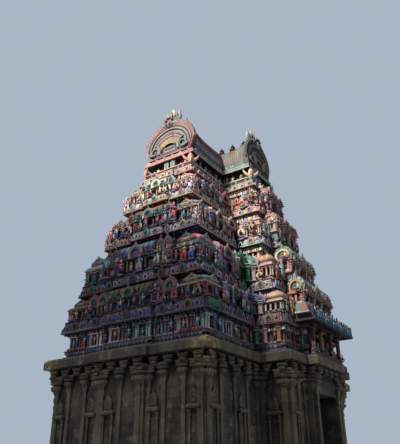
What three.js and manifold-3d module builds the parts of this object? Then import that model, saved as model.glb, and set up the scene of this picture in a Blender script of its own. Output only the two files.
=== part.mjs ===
// A five-storey South Indian temple gateway tower: a granite base cut through by a passage,
// five hollow brick storeys ringed by small pavilions, and a cross-shaped barrel roof with
// four horseshoe gables. Millimetres, +Z up, origin on the ground at the centre of the plan.
// The passage runs along Y, and the front looks towards -Y.
import * as THREE from "three";
import { mergeVertices } from "three/addons/utils/BufferGeometryUtils.js";
import Module from "manifold-3d";

const wasm = await Module();
wasm.setup();

// Half sizes of the plan at the lip of each cornice, and the height of that lip's lower edge:
// half length and half width of the main block, half width of the projecting middle bay of the
// long sides and how far it stands out, and the same two sizes for the door bay in front of it.
const STONE_LIP = {
  z: 8000, length: 11200, width: 6550, bay: 5100, projection: 2150, door: 2700, doorStep: 700,
};
const STOREY_LIPS = [
  { z: 10550, length: 10400, width: 6000, bay: 4550, projection: 2200, door: 2650, doorStep: 700 },
  { z: 13150, length: 9850, width: 5200, bay: 3950, projection: 2150, door: 2250, doorStep: 650 },
  { z: 16900, length: 8650, width: 4150, bay: 3350, projection: 2150, door: 1950, doorStep: 650 },
  { z: 20000, length: 7850, width: 3250, bay: 2550, projection: 2500, door: 1500, doorStep: 350 },
  { z: 22600, length: 6900, width: 2550, bay: 2150, projection: 2700, door: 1250, doorStep: 250 },
];
const ROOF_EAVE = { z: 24550, length: 6500, width: 2350, bay: 1950, projection: 2450 };

// The stone base
const STONE_OVERHANG = 650;
const STONE_WALL_THICKNESS = 1800;
const STONE_CORNICE_FACE = 560;
const STONE_CORNICE_HEIGHT = 700;
const PLINTH_HEIGHT = 2200;
const PASSAGE_HALF_WIDTH = 1650;
const PASSAGE_HEIGHT = 6400;
const PASSAGE_WALL = 1200;

// The brick storeys
const WALL_OVERHANG = 450;
const WALL_THICKNESS = [1100, 900, 800, 650, 500];
const DOOR_HALF_WIDTHS = [800, 520, 480, 430, 380];
const DOOR_SILL = 120;
const DOOR_HEIGHTS = [1500, 1450, 1550, 1200, 1000];
const CORNICE_HEIGHTS = [520, 520, 500, 440, 400];
const BLOCKING_HEIGHTS = [230, 230, 220, 200, 180];
const END_BAY_STEP = 220;
const END_BAY_SHARE = 0.36;
const GAP = 0.5;

// The rows of pavilions on the cornices of the first four storeys
const ROW_SETBACK = 260;
const ROW_HEIGHTS = [1720, 2350, 1850, 1550];
const PARAPET_THICKNESS = 260;
const PARAPET_SHARE = 0.4;
const EAVE_SHARE = 0.52;
const EAVE_THICKNESS = 110;
const EAVE_REACH = 110;
const EAVE_SIDE = 50;
const BODY_INSET = 90;
const ROOF_INSET = 20;
const SEAT = 5;
const CORNER_DOME = { share: 0.42, most: 2100 };
const END_ARCH = { width: 0.82, height: 0.9 };
const WING_ARCH = { gap: 0.03, width: 0.32, height: 0.88 };
const WING_HALL = { gap: 0.1, width: 0.52, height: 0.95 };
const PORTAL_INSET = 150;
const PORTAL_EAVE = { side: 40, front: 80 };
const PIER_SETBACK = 90;
const PORTAL_PIER = 280;
const PORTAL_SETBACK = 60;
const PORTAL_ROOF_HEIGHTS = [1250, 1150, 950, 700];

// The porch in front of the first storey's doorway
const PORCH_DEPTH = 280;
const PORCH_SILL = 260;
const PORCH_COLUMNS = [-2250, -850, 850, 2250];
const PORCH_COLUMN_RADIUS = { head: 110, foot: 130 };
const PORCH_BEAM = { depth: 150, setback: 30 };
const CANOPY = { low: 10800, reach: 9800, halfLength: 3600 };

// The roof
const NECK_OVERHANG = 560;
const NECK_WALL = 350;
const NECK_WINDOW = { half: 380, sill: 350, lintel: 200 };
const TOP_PARAPET = { height: 520, thickness: 200 };
const LEAF = { inset: 130, seat: 20, half: 110 };
const EAVE_HEIGHT = 420;
const VAULT_FOOT = { main: 2080, cross: 1700 };
const VAULT_RISE = { main: 2650, cross: 2520 };
const VAULT_SHELL = 260;
const VAULT_FLARE = 0.11;
const GABLE_THICKNESS = 380;
const GABLE_HALF_WIDTH = { main: 2480, cross: 2080 };
const GABLE_HEIGHT = { main: 3350, cross: 2950 };
const GABLE_SETBACK = 120;
const GABLE_WINDOW = { half: 420, sill: 620, head: 1240 };
const CREST_HEIGHT = { main: 950, cross: 900 };
const RIDGE_STRIP = { half: 150, rise: 110, seat: 30, reach: 0.85 };
const FINIAL_HEIGHT = 850;
const FINIAL_SPACING = 1140;

const material = (hex, roughness) =>
  new THREE.MeshStandardMaterial({ color: hex, roughness, metalness: 0 });
const granite = material(0x5a5241, 0.9);
const plaster = material(0xc98f86, 0.75);
const teal = material(0x5f9c94, 0.75);
const cream = material(0xd9c3a0, 0.75);
const copper = material(0x6b4630, 0.45);

const tower = new THREE.Group();

// Solids and meshes

function solidOf(geometry) {
  const flat = geometry.index ? geometry.toNonIndexed() : geometry.clone();
  const bare = new THREE.BufferGeometry().setAttribute("position", flat.getAttribute("position"));
  const merged = mergeVertices(bare, 1e-3);
  return new wasm.Manifold(
    new wasm.Mesh({
      numProp: 3,
      vertProperties: merged.attributes.position.array,
      triVerts: new Uint32Array(merged.index.array),
    }),
  );
}

function geometryOf(solid) {
  const mesh = solid.getMesh();
  const geometry = new THREE.BufferGeometry();
  geometry.setAttribute("position", new THREE.BufferAttribute(mesh.vertProperties, mesh.numProp));
  geometry.setIndex(new THREE.BufferAttribute(mesh.triVerts, 1));
  return geometry;
}

function addNode(name, solid, finish) {
  const mesh = new THREE.Mesh(geometryOf(solid), finish);
  mesh.name = name;
  tower.add(mesh);
}

const join = (solids) => wasm.Manifold.union(solids);

function boxBetween(low, high) {
  const size = high.map((value, axis) => value - low[axis]);
  const geometry = new THREE.BoxGeometry(...size);
  geometry.translate(...low.map((value, axis) => value + size[axis] / 2));
  return solidOf(geometry);
}

// A closed skin over rings of points that all have the same count, with both end rings filled.
function loft(rings) {
  const count = rings[0].length;
  const points = rings.flat();
  const faces = [];
  for (let ring = 0; ring + 1 < rings.length; ring += 1) {
    for (let i = 0; i < count; i += 1) {
      const a = ring * count + i;
      const b = ring * count + ((i + 1) % count);
      faces.push([a, b, b + count], [a, b + count, a + count]);
    }
  }
  const last = points.length - count;
  for (const [i, j, k] of capOf(rings[0])) faces.push([k, j, i]);
  for (const face of capOf(rings.at(-1))) faces.push(face.map((i) => last + i));
  const volume = faces.reduce((sum, [i, j, k]) => {
    const normal = new THREE.Vector3().crossVectors(points[i], points[j]);
    return sum + normal.dot(points[k]);
  }, 0);
  const outward = volume > 0 ? faces : faces.map(([i, j, k]) => [i, k, j]);
  const geometry = new THREE.BufferGeometry().setFromPoints(points);
  geometry.setIndex(outward.flat());
  return solidOf(geometry);
}

// The triangles that fill a flat ring, wound the way the ring runs.
function capOf(ring) {
  const normal = new THREE.Vector3();
  ring.forEach((point, i) => {
    normal.add(new THREE.Vector3().crossVectors(point, ring[(i + 1) % ring.length]));
  });
  const lean = ["x", "y", "z"].map((axis) => [Math.abs(normal[axis]), axis]);
  const widest = lean.reduce((best, entry) => (entry[0] > best[0] ? entry : best))[1];
  const [across, up] = ["x", "y", "z"].filter((axis) => axis !== widest);
  const flat = ring.map((point) => new THREE.Vector2(point[across], point[up]));
  const faces = THREE.ShapeUtils.triangulateShape(flat, []);
  return THREE.ShapeUtils.area(flat) > 0 ? faces : faces.map(([i, j, k]) => [i, k, j]);
}

// The plan

// A quarter of an outline, mirrored to all four, anticlockwise from above.
function fourfold(quarter) {
  const mirrored = (sx, sy) => quarter.map(([x, y]) => new THREE.Vector2(x * sx, y * sy));
  return [
    ...mirrored(1, 1),
    ...mirrored(-1, 1).reverse(),
    ...mirrored(-1, -1),
    ...mirrored(1, -1).reverse(),
  ];
}

// Outline of the plan at a lip, with a shallow step for the middle bay of each end, moved
// outwards by offset.
function planOutline(lip, offset) {
  const { length, width, bay, projection, door, doorStep } = lip;
  const endBay = width * END_BAY_SHARE;
  const front = width + projection;
  const quarter = [
    [length + END_BAY_STEP, endBay],
    [length, endBay],
    [length, width],
    [bay, width],
    [bay, front],
    [door, front],
    [door, front + doorStep],
  ];
  return fourfold(quarter.map(([x, y]) => [x + offset, y + offset]));
}

const ringAt = (outline, z) => outline.map((p) => new THREE.Vector3(p.x, p.y, z));

// A solid over the plan: profile is a list of [outward offset, height] from the bottom up.
function planSolid(lip, profile) {
  return loft(profile.map(([offset, z]) => ringAt(planOutline(lip, offset), z)));
}

const leftOf = (x, reach = 20000) => boxBetween([-reach, -reach, -100], [x, reach, 40000]);
const rightOf = (x, reach = 20000) => boxBetween([x, -reach, -100], [reach, reach, 40000]);

// The stone base

const stoneWall = -STONE_OVERHANG;
const baseTop = STONE_LIP.z;
const stoneFace = {
  x: STONE_LIP.length + stoneWall,
  y: STONE_LIP.width + stoneWall,
  gate: STONE_LIP.width + STONE_LIP.projection + STONE_LIP.doorStep + stoneWall,
};

// The chamber beside the passage, with the wall's thickness left all round.
const chamber = (low, high) =>
  boxBetween(
    [-(stoneFace.x - STONE_WALL_THICKNESS), -(stoneFace.y - STONE_WALL_THICKNESS), low],
    [stoneFace.x - STONE_WALL_THICKNESS, stoneFace.y - STONE_WALL_THICKNESS, high],
  );

function buildPlinth() {
  const face = stoneWall;
  const profile = [
    [face + 520, 0],
    [face + 520, 380],
    [face + 400, 400],
    [face + 400, 900],
    [face + 300, 960],
    [face + 440, 1080],
    [face + 440, 1240],
    [face + 300, 1360],
    [face + 200, 1380],
    [face + 200, 1720],
    [face + 360, 1760],
    [face + 360, 1960],
    [face + 180, 2000],
    [face + 120, PLINTH_HEIGHT],
  ];
  const ring = planSolid(STONE_LIP, profile).subtract(chamber(-100, PLINTH_HEIGHT + 100));
  addNode("plinth_left", ring.intersect(leftOf(-PASSAGE_HALF_WIDTH)), granite);
  addNode("plinth_right", ring.intersect(rightOf(PASSAGE_HALF_WIDTH)), granite);
}

function buildStoneWalls() {
  const profile = [
    [stoneWall, PLINTH_HEIGHT],
    [stoneWall, baseTop],
  ];
  const ring = planSolid(STONE_LIP, profile).subtract(chamber(0, baseTop + 100));
  addNode("stone_wall_left", ring.intersect(leftOf(-PASSAGE_HALF_WIDTH)), granite);
  addNode("stone_wall_right", ring.intersect(rightOf(PASSAGE_HALF_WIDTH)), granite);
  const inner = stoneFace.y - STONE_WALL_THICKNESS;
  const outer = PASSAGE_HALF_WIDTH + PASSAGE_WALL;
  addNode(
    "passage_wall_left",
    boxBetween([-outer, -inner, 0], [-PASSAGE_HALF_WIDTH, inner, baseTop]),
    granite,
  );
  addNode(
    "passage_wall_right",
    boxBetween([PASSAGE_HALF_WIDTH, -inner, 0], [outer, inner, baseTop]),
    granite,
  );
  for (const [side, sign] of [["front", -1], ["back", 1]]) {
    const faces = [sign * inner, sign * stoneFace.gate].sort((a, b) => a - b);
    addNode(
      `gate_lintel_${side}`,
      boxBetween(
        [-PASSAGE_HALF_WIDTH, faces[0], PASSAGE_HEIGHT],
        [PASSAGE_HALF_WIDTH, faces[1], baseTop],
      ),
      granite,
    );
  }
}

function buildStoneCornice() {
  const top = baseTop + STONE_CORNICE_HEIGHT;
  const profile = [
    [-280, baseTop],
    [0, baseTop + 60],
    [0, baseTop + STONE_CORNICE_FACE],
    [-160, top],
  ];
  addNode("stone_cornice", planSolid(STONE_LIP, profile), granite);
}

// The brick storeys

const corniceTop = (storey) =>
  STOREY_LIPS[storey].z + CORNICE_HEIGHTS[storey] + BLOCKING_HEIGHTS[storey];

const storeyFloor = (storey) =>
  storey === 0 ? baseTop + STONE_CORNICE_HEIGHT : corniceTop(storey - 1);

const wallFace = (storey) => {
  const lip = STOREY_LIPS[storey];
  return {
    x: lip.length - WALL_OVERHANG,
    y: lip.width - WALL_OVERHANG,
    bay: lip.bay - WALL_OVERHANG,
    front: lip.width + lip.projection - WALL_OVERHANG,
  };
};

function wallOutline(storey, low, high, extra = 0) {
  const lip = STOREY_LIPS[storey];
  const offset = -WALL_OVERHANG + extra;
  return planSolid(lip, [[offset, low], [offset, high]]);
}

function buildStoreyWall(storey) {
  const lip = STOREY_LIPS[storey];
  const low = storeyFloor(storey);
  const face = wallFace(storey);
  const thickness = WALL_THICKNESS[storey];
  const doorHalf = DOOR_HALF_WIDTHS[storey];
  const room = boxBetween(
    [-(face.x - thickness), -(face.y - thickness), low - 50],
    [face.x - thickness, face.y - thickness, lip.z + 50],
  );
  const reach = face.front + lip.doorStep + 100;
  const doorway = boxBetween(
    [-doorHalf, -reach, low + DOOR_SILL],
    [doorHalf, reach, low + DOOR_SILL + DOOR_HEIGHTS[storey]],
  );
  const plinth = planSolid(
    lip,
    [
      [-WALL_OVERHANG + 240, low],
      [-WALL_OVERHANG + 240, low + 240],
      [-WALL_OVERHANG + 100, low + 300],
      [-WALL_OVERHANG + 100, low + 420],
      [-WALL_OVERHANG + 200, low + 470],
      [-WALL_OVERHANG + 200, low + 640],
      [-WALL_OVERHANG, low + 680],
    ],
  );
  let wall = wallOutline(storey, low, lip.z);
  if (storey === 0) wall = wall.add(plinth);
  addNode(`storey_${storey + 1}_walls`, wall.subtract(room).subtract(doorway), plaster);
}

// A cornice with the curved drip of the type, and the low blocking course above it, grown by
// extra all round. It is also the floor of the storey above.
function corniceSolid(storey, extra = 0) {
  const lip = STOREY_LIPS[storey];
  const height = CORNICE_HEIGHTS[storey];
  const low = lip.z - extra;
  const profile = [
    [-WALL_OVERHANG + 60, low],
    [0, low + 10],
    [0, lip.z + height * 0.22],
    [-height * 0.16, lip.z + height * 0.62],
    [-ROW_SETBACK + 70, lip.z + height],
    [-ROW_SETBACK + 70, corniceTop(storey)],
  ];
  return planSolid(lip, profile.map(([offset, z]) => [offset + extra, z]));
}

// Pavilions. Each is made in a local frame where the face looks towards -Y, its front is at
// y = 0 and it stands on z = 0.

function arcPoints(radiusX, radiusZ, from, to, steps) {
  const points = [];
  for (let i = 0; i <= steps; i += 1) {
    const angle = from + ((to - from) * i) / steps;
    points.push([Math.cos(angle) * radiusX, Math.sin(angle) * radiusZ]);
  }
  return points;
}

// The pointed horseshoe of a vault's end: half width at the foot, wider at a third of its
// height, and drawn to a point at the crown.
function horseshoe(halfWidth, height, steps = 4, swell = 1.12) {
  const waist = height * 0.34;
  const upper = arcPoints(halfWidth * swell, height - waist, 0, Math.PI / 2, steps);
  const right = [[halfWidth, 0], ...upper.map(([x, z]) => [x, z + waist])];
  const left = right.slice(0, -1).reverse().map(([x, z]) => [-x, z]);
  return [...right, ...left];
}

// A barrel roof along X or along Y, lofted from its horseshoe section.
function barrel(section, from, to, alongX) {
  const ring = (t) =>
    section.map(([s, z]) => (alongX ? new THREE.Vector3(t, s, z) : new THREE.Vector3(-s, t, z)));
  return loft([ring(from), ring(to)]);
}

// A four-sided dome with curved ribs on a rectangle.
function foldedDome(halfX, halfY, low, height) {
  const steps = [
    [1, 0],
    [1.04, 0.28],
    [0.72, 0.74],
    [0.12, 1],
  ];
  return loft(
    steps.map(([share, rise]) =>
      [[1, 1], [-1, 1], [-1, -1], [1, -1]].map(
        ([sx, sy]) => new THREE.Vector3(sx * halfX * share, sy * halfY * share, low + height * rise),
      ),
    ),
  );
}

function pavilion(kind, width, depth, height) {
  const eave = height * EAVE_SHARE;
  const half = width / 2;
  const middle = depth / 2;
  const body = boxBetween([-half + BODY_INSET, 0, 0], [half - BODY_INSET, depth, eave + SEAT]);
  const eaveSlab = boxBetween(
    [-half - EAVE_SIDE, -EAVE_REACH, eave],
    [half + EAVE_SIDE, depth, eave + EAVE_THICKNESS],
  );
  const roofLow = eave + EAVE_THICKNESS - SEAT;
  const roofHalf = half - ROOF_INSET;
  const roofHeight = height - roofLow;
  const centred = (solid) => solid.translate([0, middle, 0]);
  const roofs = {
    dome: () => centred(foldedDome(roofHalf, middle, roofLow, roofHeight)),
    hall: () =>
      barrel(horseshoe(middle * 0.9, roofHeight), -roofHalf, roofHalf, true).translate([
        0,
        middle,
        roofLow,
      ]),
    arch: () =>
      barrel(
        horseshoe(roofHalf - ROOF_INSET, roofHeight),
        -EAVE_REACH + ROOF_INSET,
        depth - ROOF_INSET,
        false,
      ).translate([0, 0, roofLow]),
  };
  return join([body, eaveSlab, roofs[kind]()]);
}

const turn = (solid, degrees) => solid.rotate([0, 0, degrees]);

// One row of pavilions on a cornice, joined by their low parapet wall.
function buildPavilionRow(storey) {
  const lip = STOREY_LIPS[storey];
  const z = corniceTop(storey);
  const height = ROW_HEIGHTS[storey];
  const above = wallFace(storey + 1);
  const edge = {
    x: lip.length - ROW_SETBACK,
    y: lip.width - ROW_SETBACK,
    bay: lip.bay - ROW_SETBACK,
    front: lip.width + lip.projection - ROW_SETBACK,
  };
  const depthX = edge.x - above.x;
  const depthY = edge.y - above.y;
  const solids = [];
  const place = (kind, width, depth, x, y, degrees, share = 1) => {
    solids.push(turn(pavilion(kind, width, depth, height * share), degrees).translate([x, y, z]));
  };
  const parapetHeight = height * PARAPET_SHARE;
  const parapetFace = -ROW_SETBACK - 40;
  const parapetBack = parapetFace - PARAPET_THICKNESS;
  const parapet = planSolid(lip, [[parapetFace, z], [parapetFace, z + parapetHeight]]);
  const behind = planSolid(lip, [[parapetBack, z - 50], [parapetBack, z + parapetHeight + 50]]);
  solids.push(parapet.subtract(behind));
  const corner = Math.min(lip.width * CORNER_DOME.share, CORNER_DOME.most);
  const portalHalf = lip.door - PORTAL_INSET;
  const roomBesidePortal = edge.bay - portalHalf - PORTAL_EAVE.side;
  const bayCorner = Math.min(lip.bay * CORNER_DOME.share, roomBesidePortal);
  const endHall = 2 * (lip.width * END_BAY_SHARE - ROW_SETBACK + EAVE_SIDE);
  const endArch = (edge.y - corner - endHall / 2) * END_ARCH.width;
  const wing = edge.x - corner - edge.bay - EAVE_REACH;
  const wingStart = edge.bay + EAVE_REACH;
  const hallWidth = wing * WING_HALL.width;
  const archWidth = wing * WING_ARCH.width;
  for (const sx of [-1, 1]) {
    const endTurn = sx < 0 ? -90 : 90;
    const endY = (edge.y - corner + endHall / 2) / 2;
    place("hall", endHall, depthX + END_BAY_STEP, sx * (edge.x + END_BAY_STEP), 0, endTurn);
    for (const sy of [-1, 1]) {
      const frontTurn = sy < 0 ? 0 : 180;
      place("arch", endArch, depthX, sx * edge.x, sy * endY, endTurn, END_ARCH.height);
      place("dome", corner, corner, sx * (edge.x - corner / 2), sy * edge.y, frontTurn);
      const hallX = wingStart + archWidth + wing * WING_HALL.gap + hallWidth / 2;
      place("hall", hallWidth, depthY, sx * hallX, sy * edge.y, frontTurn, WING_HALL.height);
      const archX = wingStart + wing * WING_ARCH.gap + archWidth / 2;
      place("arch", archWidth, depthY, sx * archX, sy * edge.y, frontTurn, WING_ARCH.height);
      const bayX = edge.bay - bayCorner / 2;
      place("dome", bayCorner, bayCorner, sx * bayX, sy * edge.front, frontTurn);
    }
  }
  const wallAbove = wallOutline(storey + 1, z - 100, z + 4000, GAP);
  const row = join(solids).subtract(wallAbove);
  const cut = portalHalf + GAP;
  addNode(`pavilions_${storey + 1}_left`, largest(row.intersect(leftOf(-cut))), cream);
  addNode(`pavilions_${storey + 1}_right`, largest(row.intersect(rightOf(cut))), cream);
}

// The biggest of the bodies of a solid, without the chips that a cut leaves.
function largest(solid) {
  return solid.decompose().reduce((best, body) => (body.volume() > best.volume() ? body : best));
}

// The pavilion before a storey's doorway on the long sides: four piers on a sill, with the way
// in between the middle two, and a barrel roof over them that shows an arch at each end.
function buildPortals(storey) {
  const lip = STOREY_LIPS[storey];
  const z = corniceTop(storey);
  const doorHalf = DOOR_HALF_WIDTHS[storey + 1];
  const wallBehind = wallFace(storey + 1).front + STOREY_LIPS[storey + 1].doorStep;
  const back = -wallBehind - GAP;
  const front = -(lip.width + lip.projection + lip.doorStep - PORTAL_SETBACK);
  const half = lip.door - PORTAL_INSET;
  const pierTop = z + DOOR_SILL + DOOR_HEIGHTS[storey + 1] + 30;
  const roofLow = pierTop + EAVE_THICKNESS;
  const pier = (x) =>
    boxBetween([x, front + PIER_SETBACK, z], [x + PORTAL_PIER, back, pierTop + SEAT]);
  const section = horseshoe((back - front) / 2 - PORTAL_SETBACK, PORTAL_ROOF_HEIGHTS[storey]);
  const portal = join([
    boxBetween([-half, front, z], [half, back, z + DOOR_SILL]),
    ...[-half, -doorHalf - PORTAL_PIER, doorHalf, half - PORTAL_PIER].map(pier),
    boxBetween(
      [-half - PORTAL_EAVE.side, front - PORTAL_EAVE.front, pierTop],
      [half + PORTAL_EAVE.side, back, roofLow + SEAT],
    ),
    barrel(section, -half + ROOF_INSET, half - ROOF_INSET, true).translate([
      0,
      (front + back) / 2,
      roofLow,
    ]),
  ]);
  const nextTop = corniceTop(storey + 1);
  const nextFace = -PORTAL_SETBACK + GAP;
  const nextPortal = planSolid(STOREY_LIPS[storey + 1], [
    [nextFace, nextTop - SEAT],
    [nextFace, nextTop + 2000],
  ]);
  const clear = portal
    .subtract(wallOutline(storey + 1, z - 100, z + 4000, GAP))
    .subtract(corniceSolid(storey + 1, GAP))
    .subtract(nextPortal);
  addNode(`portal_${storey + 2}_front`, clear, teal);
  addNode(`portal_${storey + 2}_back`, turn(clear, 180), teal);
}

// The porch over the first storey's doorway: a row of columns on a sill, and the canopy that
// they carry.
function buildPorch() {
  const floor = baseTop + STONE_CORNICE_HEIGHT;
  const outer = STONE_LIP.width + STONE_LIP.projection + STONE_LIP.doorStep - 200;
  const inner = outer - PORCH_DEPTH;
  const shaftLow = floor + PORCH_SILL;
  const columns = PORCH_COLUMNS.map((x) => {
    const { head, foot } = PORCH_COLUMN_RADIUS;
    const shaft = new THREE.CylinderGeometry(head, foot, CANOPY.low - shaftLow, 8);
    shaft.rotateX(Math.PI / 2);
    shaft.translate(x, -(outer + inner) / 2, (CANOPY.low + shaftLow) / 2);
    return solidOf(shaft);
  });
  const half = PORCH_COLUMNS.at(-1) + 160;
  const sill = boxBetween([-half, -outer, floor], [half, -inner, shaftLow + SEAT]);
  const beam = boxBetween(
    [-half, -outer + PORCH_BEAM.setback, CANOPY.low - PORCH_BEAM.depth],
    [half, -inner - PORCH_BEAM.setback, CANOPY.low],
  );
  const porch = join([sill, beam, ...columns]);
  const lip = STOREY_LIPS[0];
  const back = -(lip.width + lip.projection) - GAP;
  const section = [
    [back, CANOPY.low],
    [-outer - 60, CANOPY.low],
    [-CANOPY.reach + 50, CANOPY.low - 110],
    [-CANOPY.reach, CANOPY.low + 20],
    [-CANOPY.reach + 90, CANOPY.low + 340],
    [-outer, CANOPY.low + 640],
    [back, CANOPY.low + 860],
  ];
  const ends = [-CANOPY.halfLength, CANOPY.halfLength];
  const roof = loft(ends.map((x) => section.map(([y, z]) => new THREE.Vector3(x, y, z))));
  const canopy = roof.subtract(planSolid(lip, [[GAP, floor], [GAP, lip.z + 3000]]));
  for (const [side, degrees] of [["front", 0], ["back", 180]]) {
    addNode(`porch_columns_${side}`, turn(porch, degrees), teal);
    addNode(`porch_canopy_${side}`, turn(canopy, degrees), teal);
  }
}

// The neck and roof

const neckFloor = corniceTop(4);
const neckFace = (share = 0) => ({
  x: ROOF_EAVE.length - NECK_OVERHANG + share,
  y: ROOF_EAVE.width - NECK_OVERHANG + share,
  bay: ROOF_EAVE.bay - NECK_OVERHANG + share,
  front: ROOF_EAVE.width + ROOF_EAVE.projection - NECK_OVERHANG + share,
});

const crossOutline = (face) =>
  fourfold([
    [face.x, face.y],
    [face.bay, face.y],
    [face.bay, face.front],
  ]);

const crossSolid = (face, profile) =>
  loft(
    profile.map(([offset, z]) =>
      ringAt(
        crossOutline({
          x: face.x + offset,
          y: face.y + offset,
          bay: face.bay + offset,
          front: face.front + offset,
        }),
        z,
      ),
    ),
  );

function buildNeck() {
  const face = neckFace();
  const outer = crossSolid(face, [[0, neckFloor], [0, ROOF_EAVE.z]]);
  const inner = crossSolid(face, [[-NECK_WALL, neckFloor - 50], [-NECK_WALL, ROOF_EAVE.z + 50]]);
  const { half } = NECK_WINDOW;
  const sill = neckFloor + NECK_WINDOW.sill;
  const head = ROOF_EAVE.z - NECK_WINDOW.lintel;
  const windows = join([
    boxBetween([-face.x - 100, -half, sill], [face.x + 100, half, head]),
    boxBetween([-half, -face.front - 100, sill], [half, face.front + 100, head]),
  ]);
  addNode("neck_walls", outer.subtract(inner).subtract(windows), plaster);
}

// The low wall round the neck, with a three-pointed upturned leaf on each of its eight corners.
function buildTopParapet() {
  const lip = STOREY_LIPS[4];
  const z = neckFloor;
  const face = {
    x: lip.length - ROW_SETBACK,
    y: lip.width - ROW_SETBACK,
    bay: lip.bay - ROW_SETBACK,
    front: lip.width + lip.projection - ROW_SETBACK,
  };
  const { height, thickness } = TOP_PARAPET;
  const ring = crossSolid(face, [[0, z], [0, z + height]]).subtract(
    crossSolid(face, [[-thickness, z - 50], [-thickness, z + height + 50]]),
  );
  const leaves = [];
  for (const sx of [-1, 1]) {
    for (const sy of [-1, 1]) {
      const degrees = THREE.MathUtils.radToDeg(Math.atan2(sx, -sy));
      for (const [x, y] of [[face.x, face.y], [face.bay, face.front]]) {
        const place = [sx * (x - LEAF.inset), sy * (y - LEAF.inset), z + height - LEAF.seat];
        leaves.push(turn(cornerLeaf(), degrees).translate(place));
      }
    }
  }
  addNode("top_parapet", join([ring, ...leaves]), plaster);
}

function cornerLeaf() {
  const profile = [
    [-170, 0],
    [-360, 150],
    [-640, 560],
    [-330, 380],
    [-130, 330],
    [0, 820],
    [130, 330],
    [330, 380],
    [640, 560],
    [360, 150],
    [170, 0],
  ];
  const ring = (y) => profile.map(([x, z]) => new THREE.Vector3(x, y, z));
  return loft([ring(-LEAF.half), ring(LEAF.half)]);
}

function buildEave() {
  const face = neckFace(NECK_OVERHANG);
  const { z } = ROOF_EAVE;
  const plate = crossSolid(face, [
    [-80, z],
    [0, z + 20],
    [0, z + 170],
    [-170, z + EAVE_HEIGHT],
  ]);
  const opening = crossSolid(neckFace(-NECK_WALL), [[0, z - 50], [0, z + EAVE_HEIGHT + 50]]);
  addNode("roof_eave", plate.subtract(opening), teal);
}

const vaultLow = ROOF_EAVE.z + EAVE_HEIGHT;

// A barrel whose section grows towards both ends, where it meets the gables.
function flaredVault(foot, rise, halfLength, alongX, inset) {
  const section = horseshoe(foot - inset, rise - inset, 5, 1.1);
  const stations = [-1, -0.84, -0.6, 0.6, 0.84, 1];
  const rings = stations.map((t) => {
    const grow = 1 + VAULT_FLARE * Math.max(0, (Math.abs(t) - 0.6) / 0.4) ** 2;
    const reach = t * halfLength;
    return section.map(([s, z]) =>
      alongX
        ? new THREE.Vector3(reach, s * (inset ? 1 : Math.sqrt(grow)), z * (inset ? 1 : grow))
        : new THREE.Vector3(-s * (inset ? 1 : Math.sqrt(grow)), reach, z * (inset ? 1 : grow)),
    );
  });
  return loft(rings);
}

const gableFace = {
  x: ROOF_EAVE.length - GABLE_SETBACK,
  y: ROOF_EAVE.width + ROOF_EAVE.projection - GABLE_SETBACK,
};

// The two vaults that cross over the neck, with their skin drawn in by inset.
function crossingVaults(inset) {
  const extra = inset > 0 ? 500 : 0;
  const lengthX = gableFace.x - GABLE_THICKNESS - GAP + extra;
  const lengthY = gableFace.y - GABLE_THICKNESS - GAP + extra;
  return join([
    flaredVault(VAULT_FOOT.main, VAULT_RISE.main, lengthX, true, inset),
    flaredVault(VAULT_FOOT.cross, VAULT_RISE.cross, lengthY, false, inset),
  ]).translate([0, 0, inset > 0 ? vaultLow - 1 : vaultLow]);
}

function buildVault() {
  addNode("roof_vault", crossingVaults(0).subtract(crossingVaults(VAULT_SHELL)), teal);
}

// A gable plate in the local frame of a pavilion: the horseshoe, the crest of two plumes that
// rises over it, and its window.
function gable(halfWidth, height, crestHeight) {
  const foot = halfWidth * 0.84;
  const body = horseshoe(foot, height, 9, halfWidth / foot);
  const plume = [
    [520, -0.25],
    [560, 0.13],
    [300, 0.3],
    [520, 0.68],
    [420, 1],
    [190, 0.62],
  ].map(([x, share]) => [x, height + share * crestHeight]);
  const mirror = plume.map(([x, z]) => [-x, z]).reverse();
  const crest = [...plume, [0, height + 0.55 * crestHeight], ...mirror];
  const plate = (outline) => {
    const ring = (y) => outline.map(([x, z]) => new THREE.Vector3(x, y, z));
    return loft([ring(GABLE_THICKNESS), ring(0)]);
  };
  const { half, sill, head } = GABLE_WINDOW;
  const window = boxBetween([-half, -100, sill], [half, GABLE_THICKNESS + 100, head]);
  return join([plate(body), plate(crest)]).subtract(window);
}

function buildGables() {
  const end = gable(GABLE_HALF_WIDTH.main, GABLE_HEIGHT.main, CREST_HEIGHT.main);
  const cross = gable(GABLE_HALF_WIDTH.cross, GABLE_HEIGHT.cross, CREST_HEIGHT.cross);
  addNode("gable_left", turn(end, -90).translate([-gableFace.x, 0, vaultLow]), plaster);
  addNode("gable_right", turn(end, 90).translate([gableFace.x, 0, vaultLow]), plaster);
  addNode("gable_front", cross.translate([0, -gableFace.y, vaultLow]), plaster);
  addNode("gable_back", turn(cross, 180).translate([0, gableFace.y, vaultLow]), plaster);
}

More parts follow.
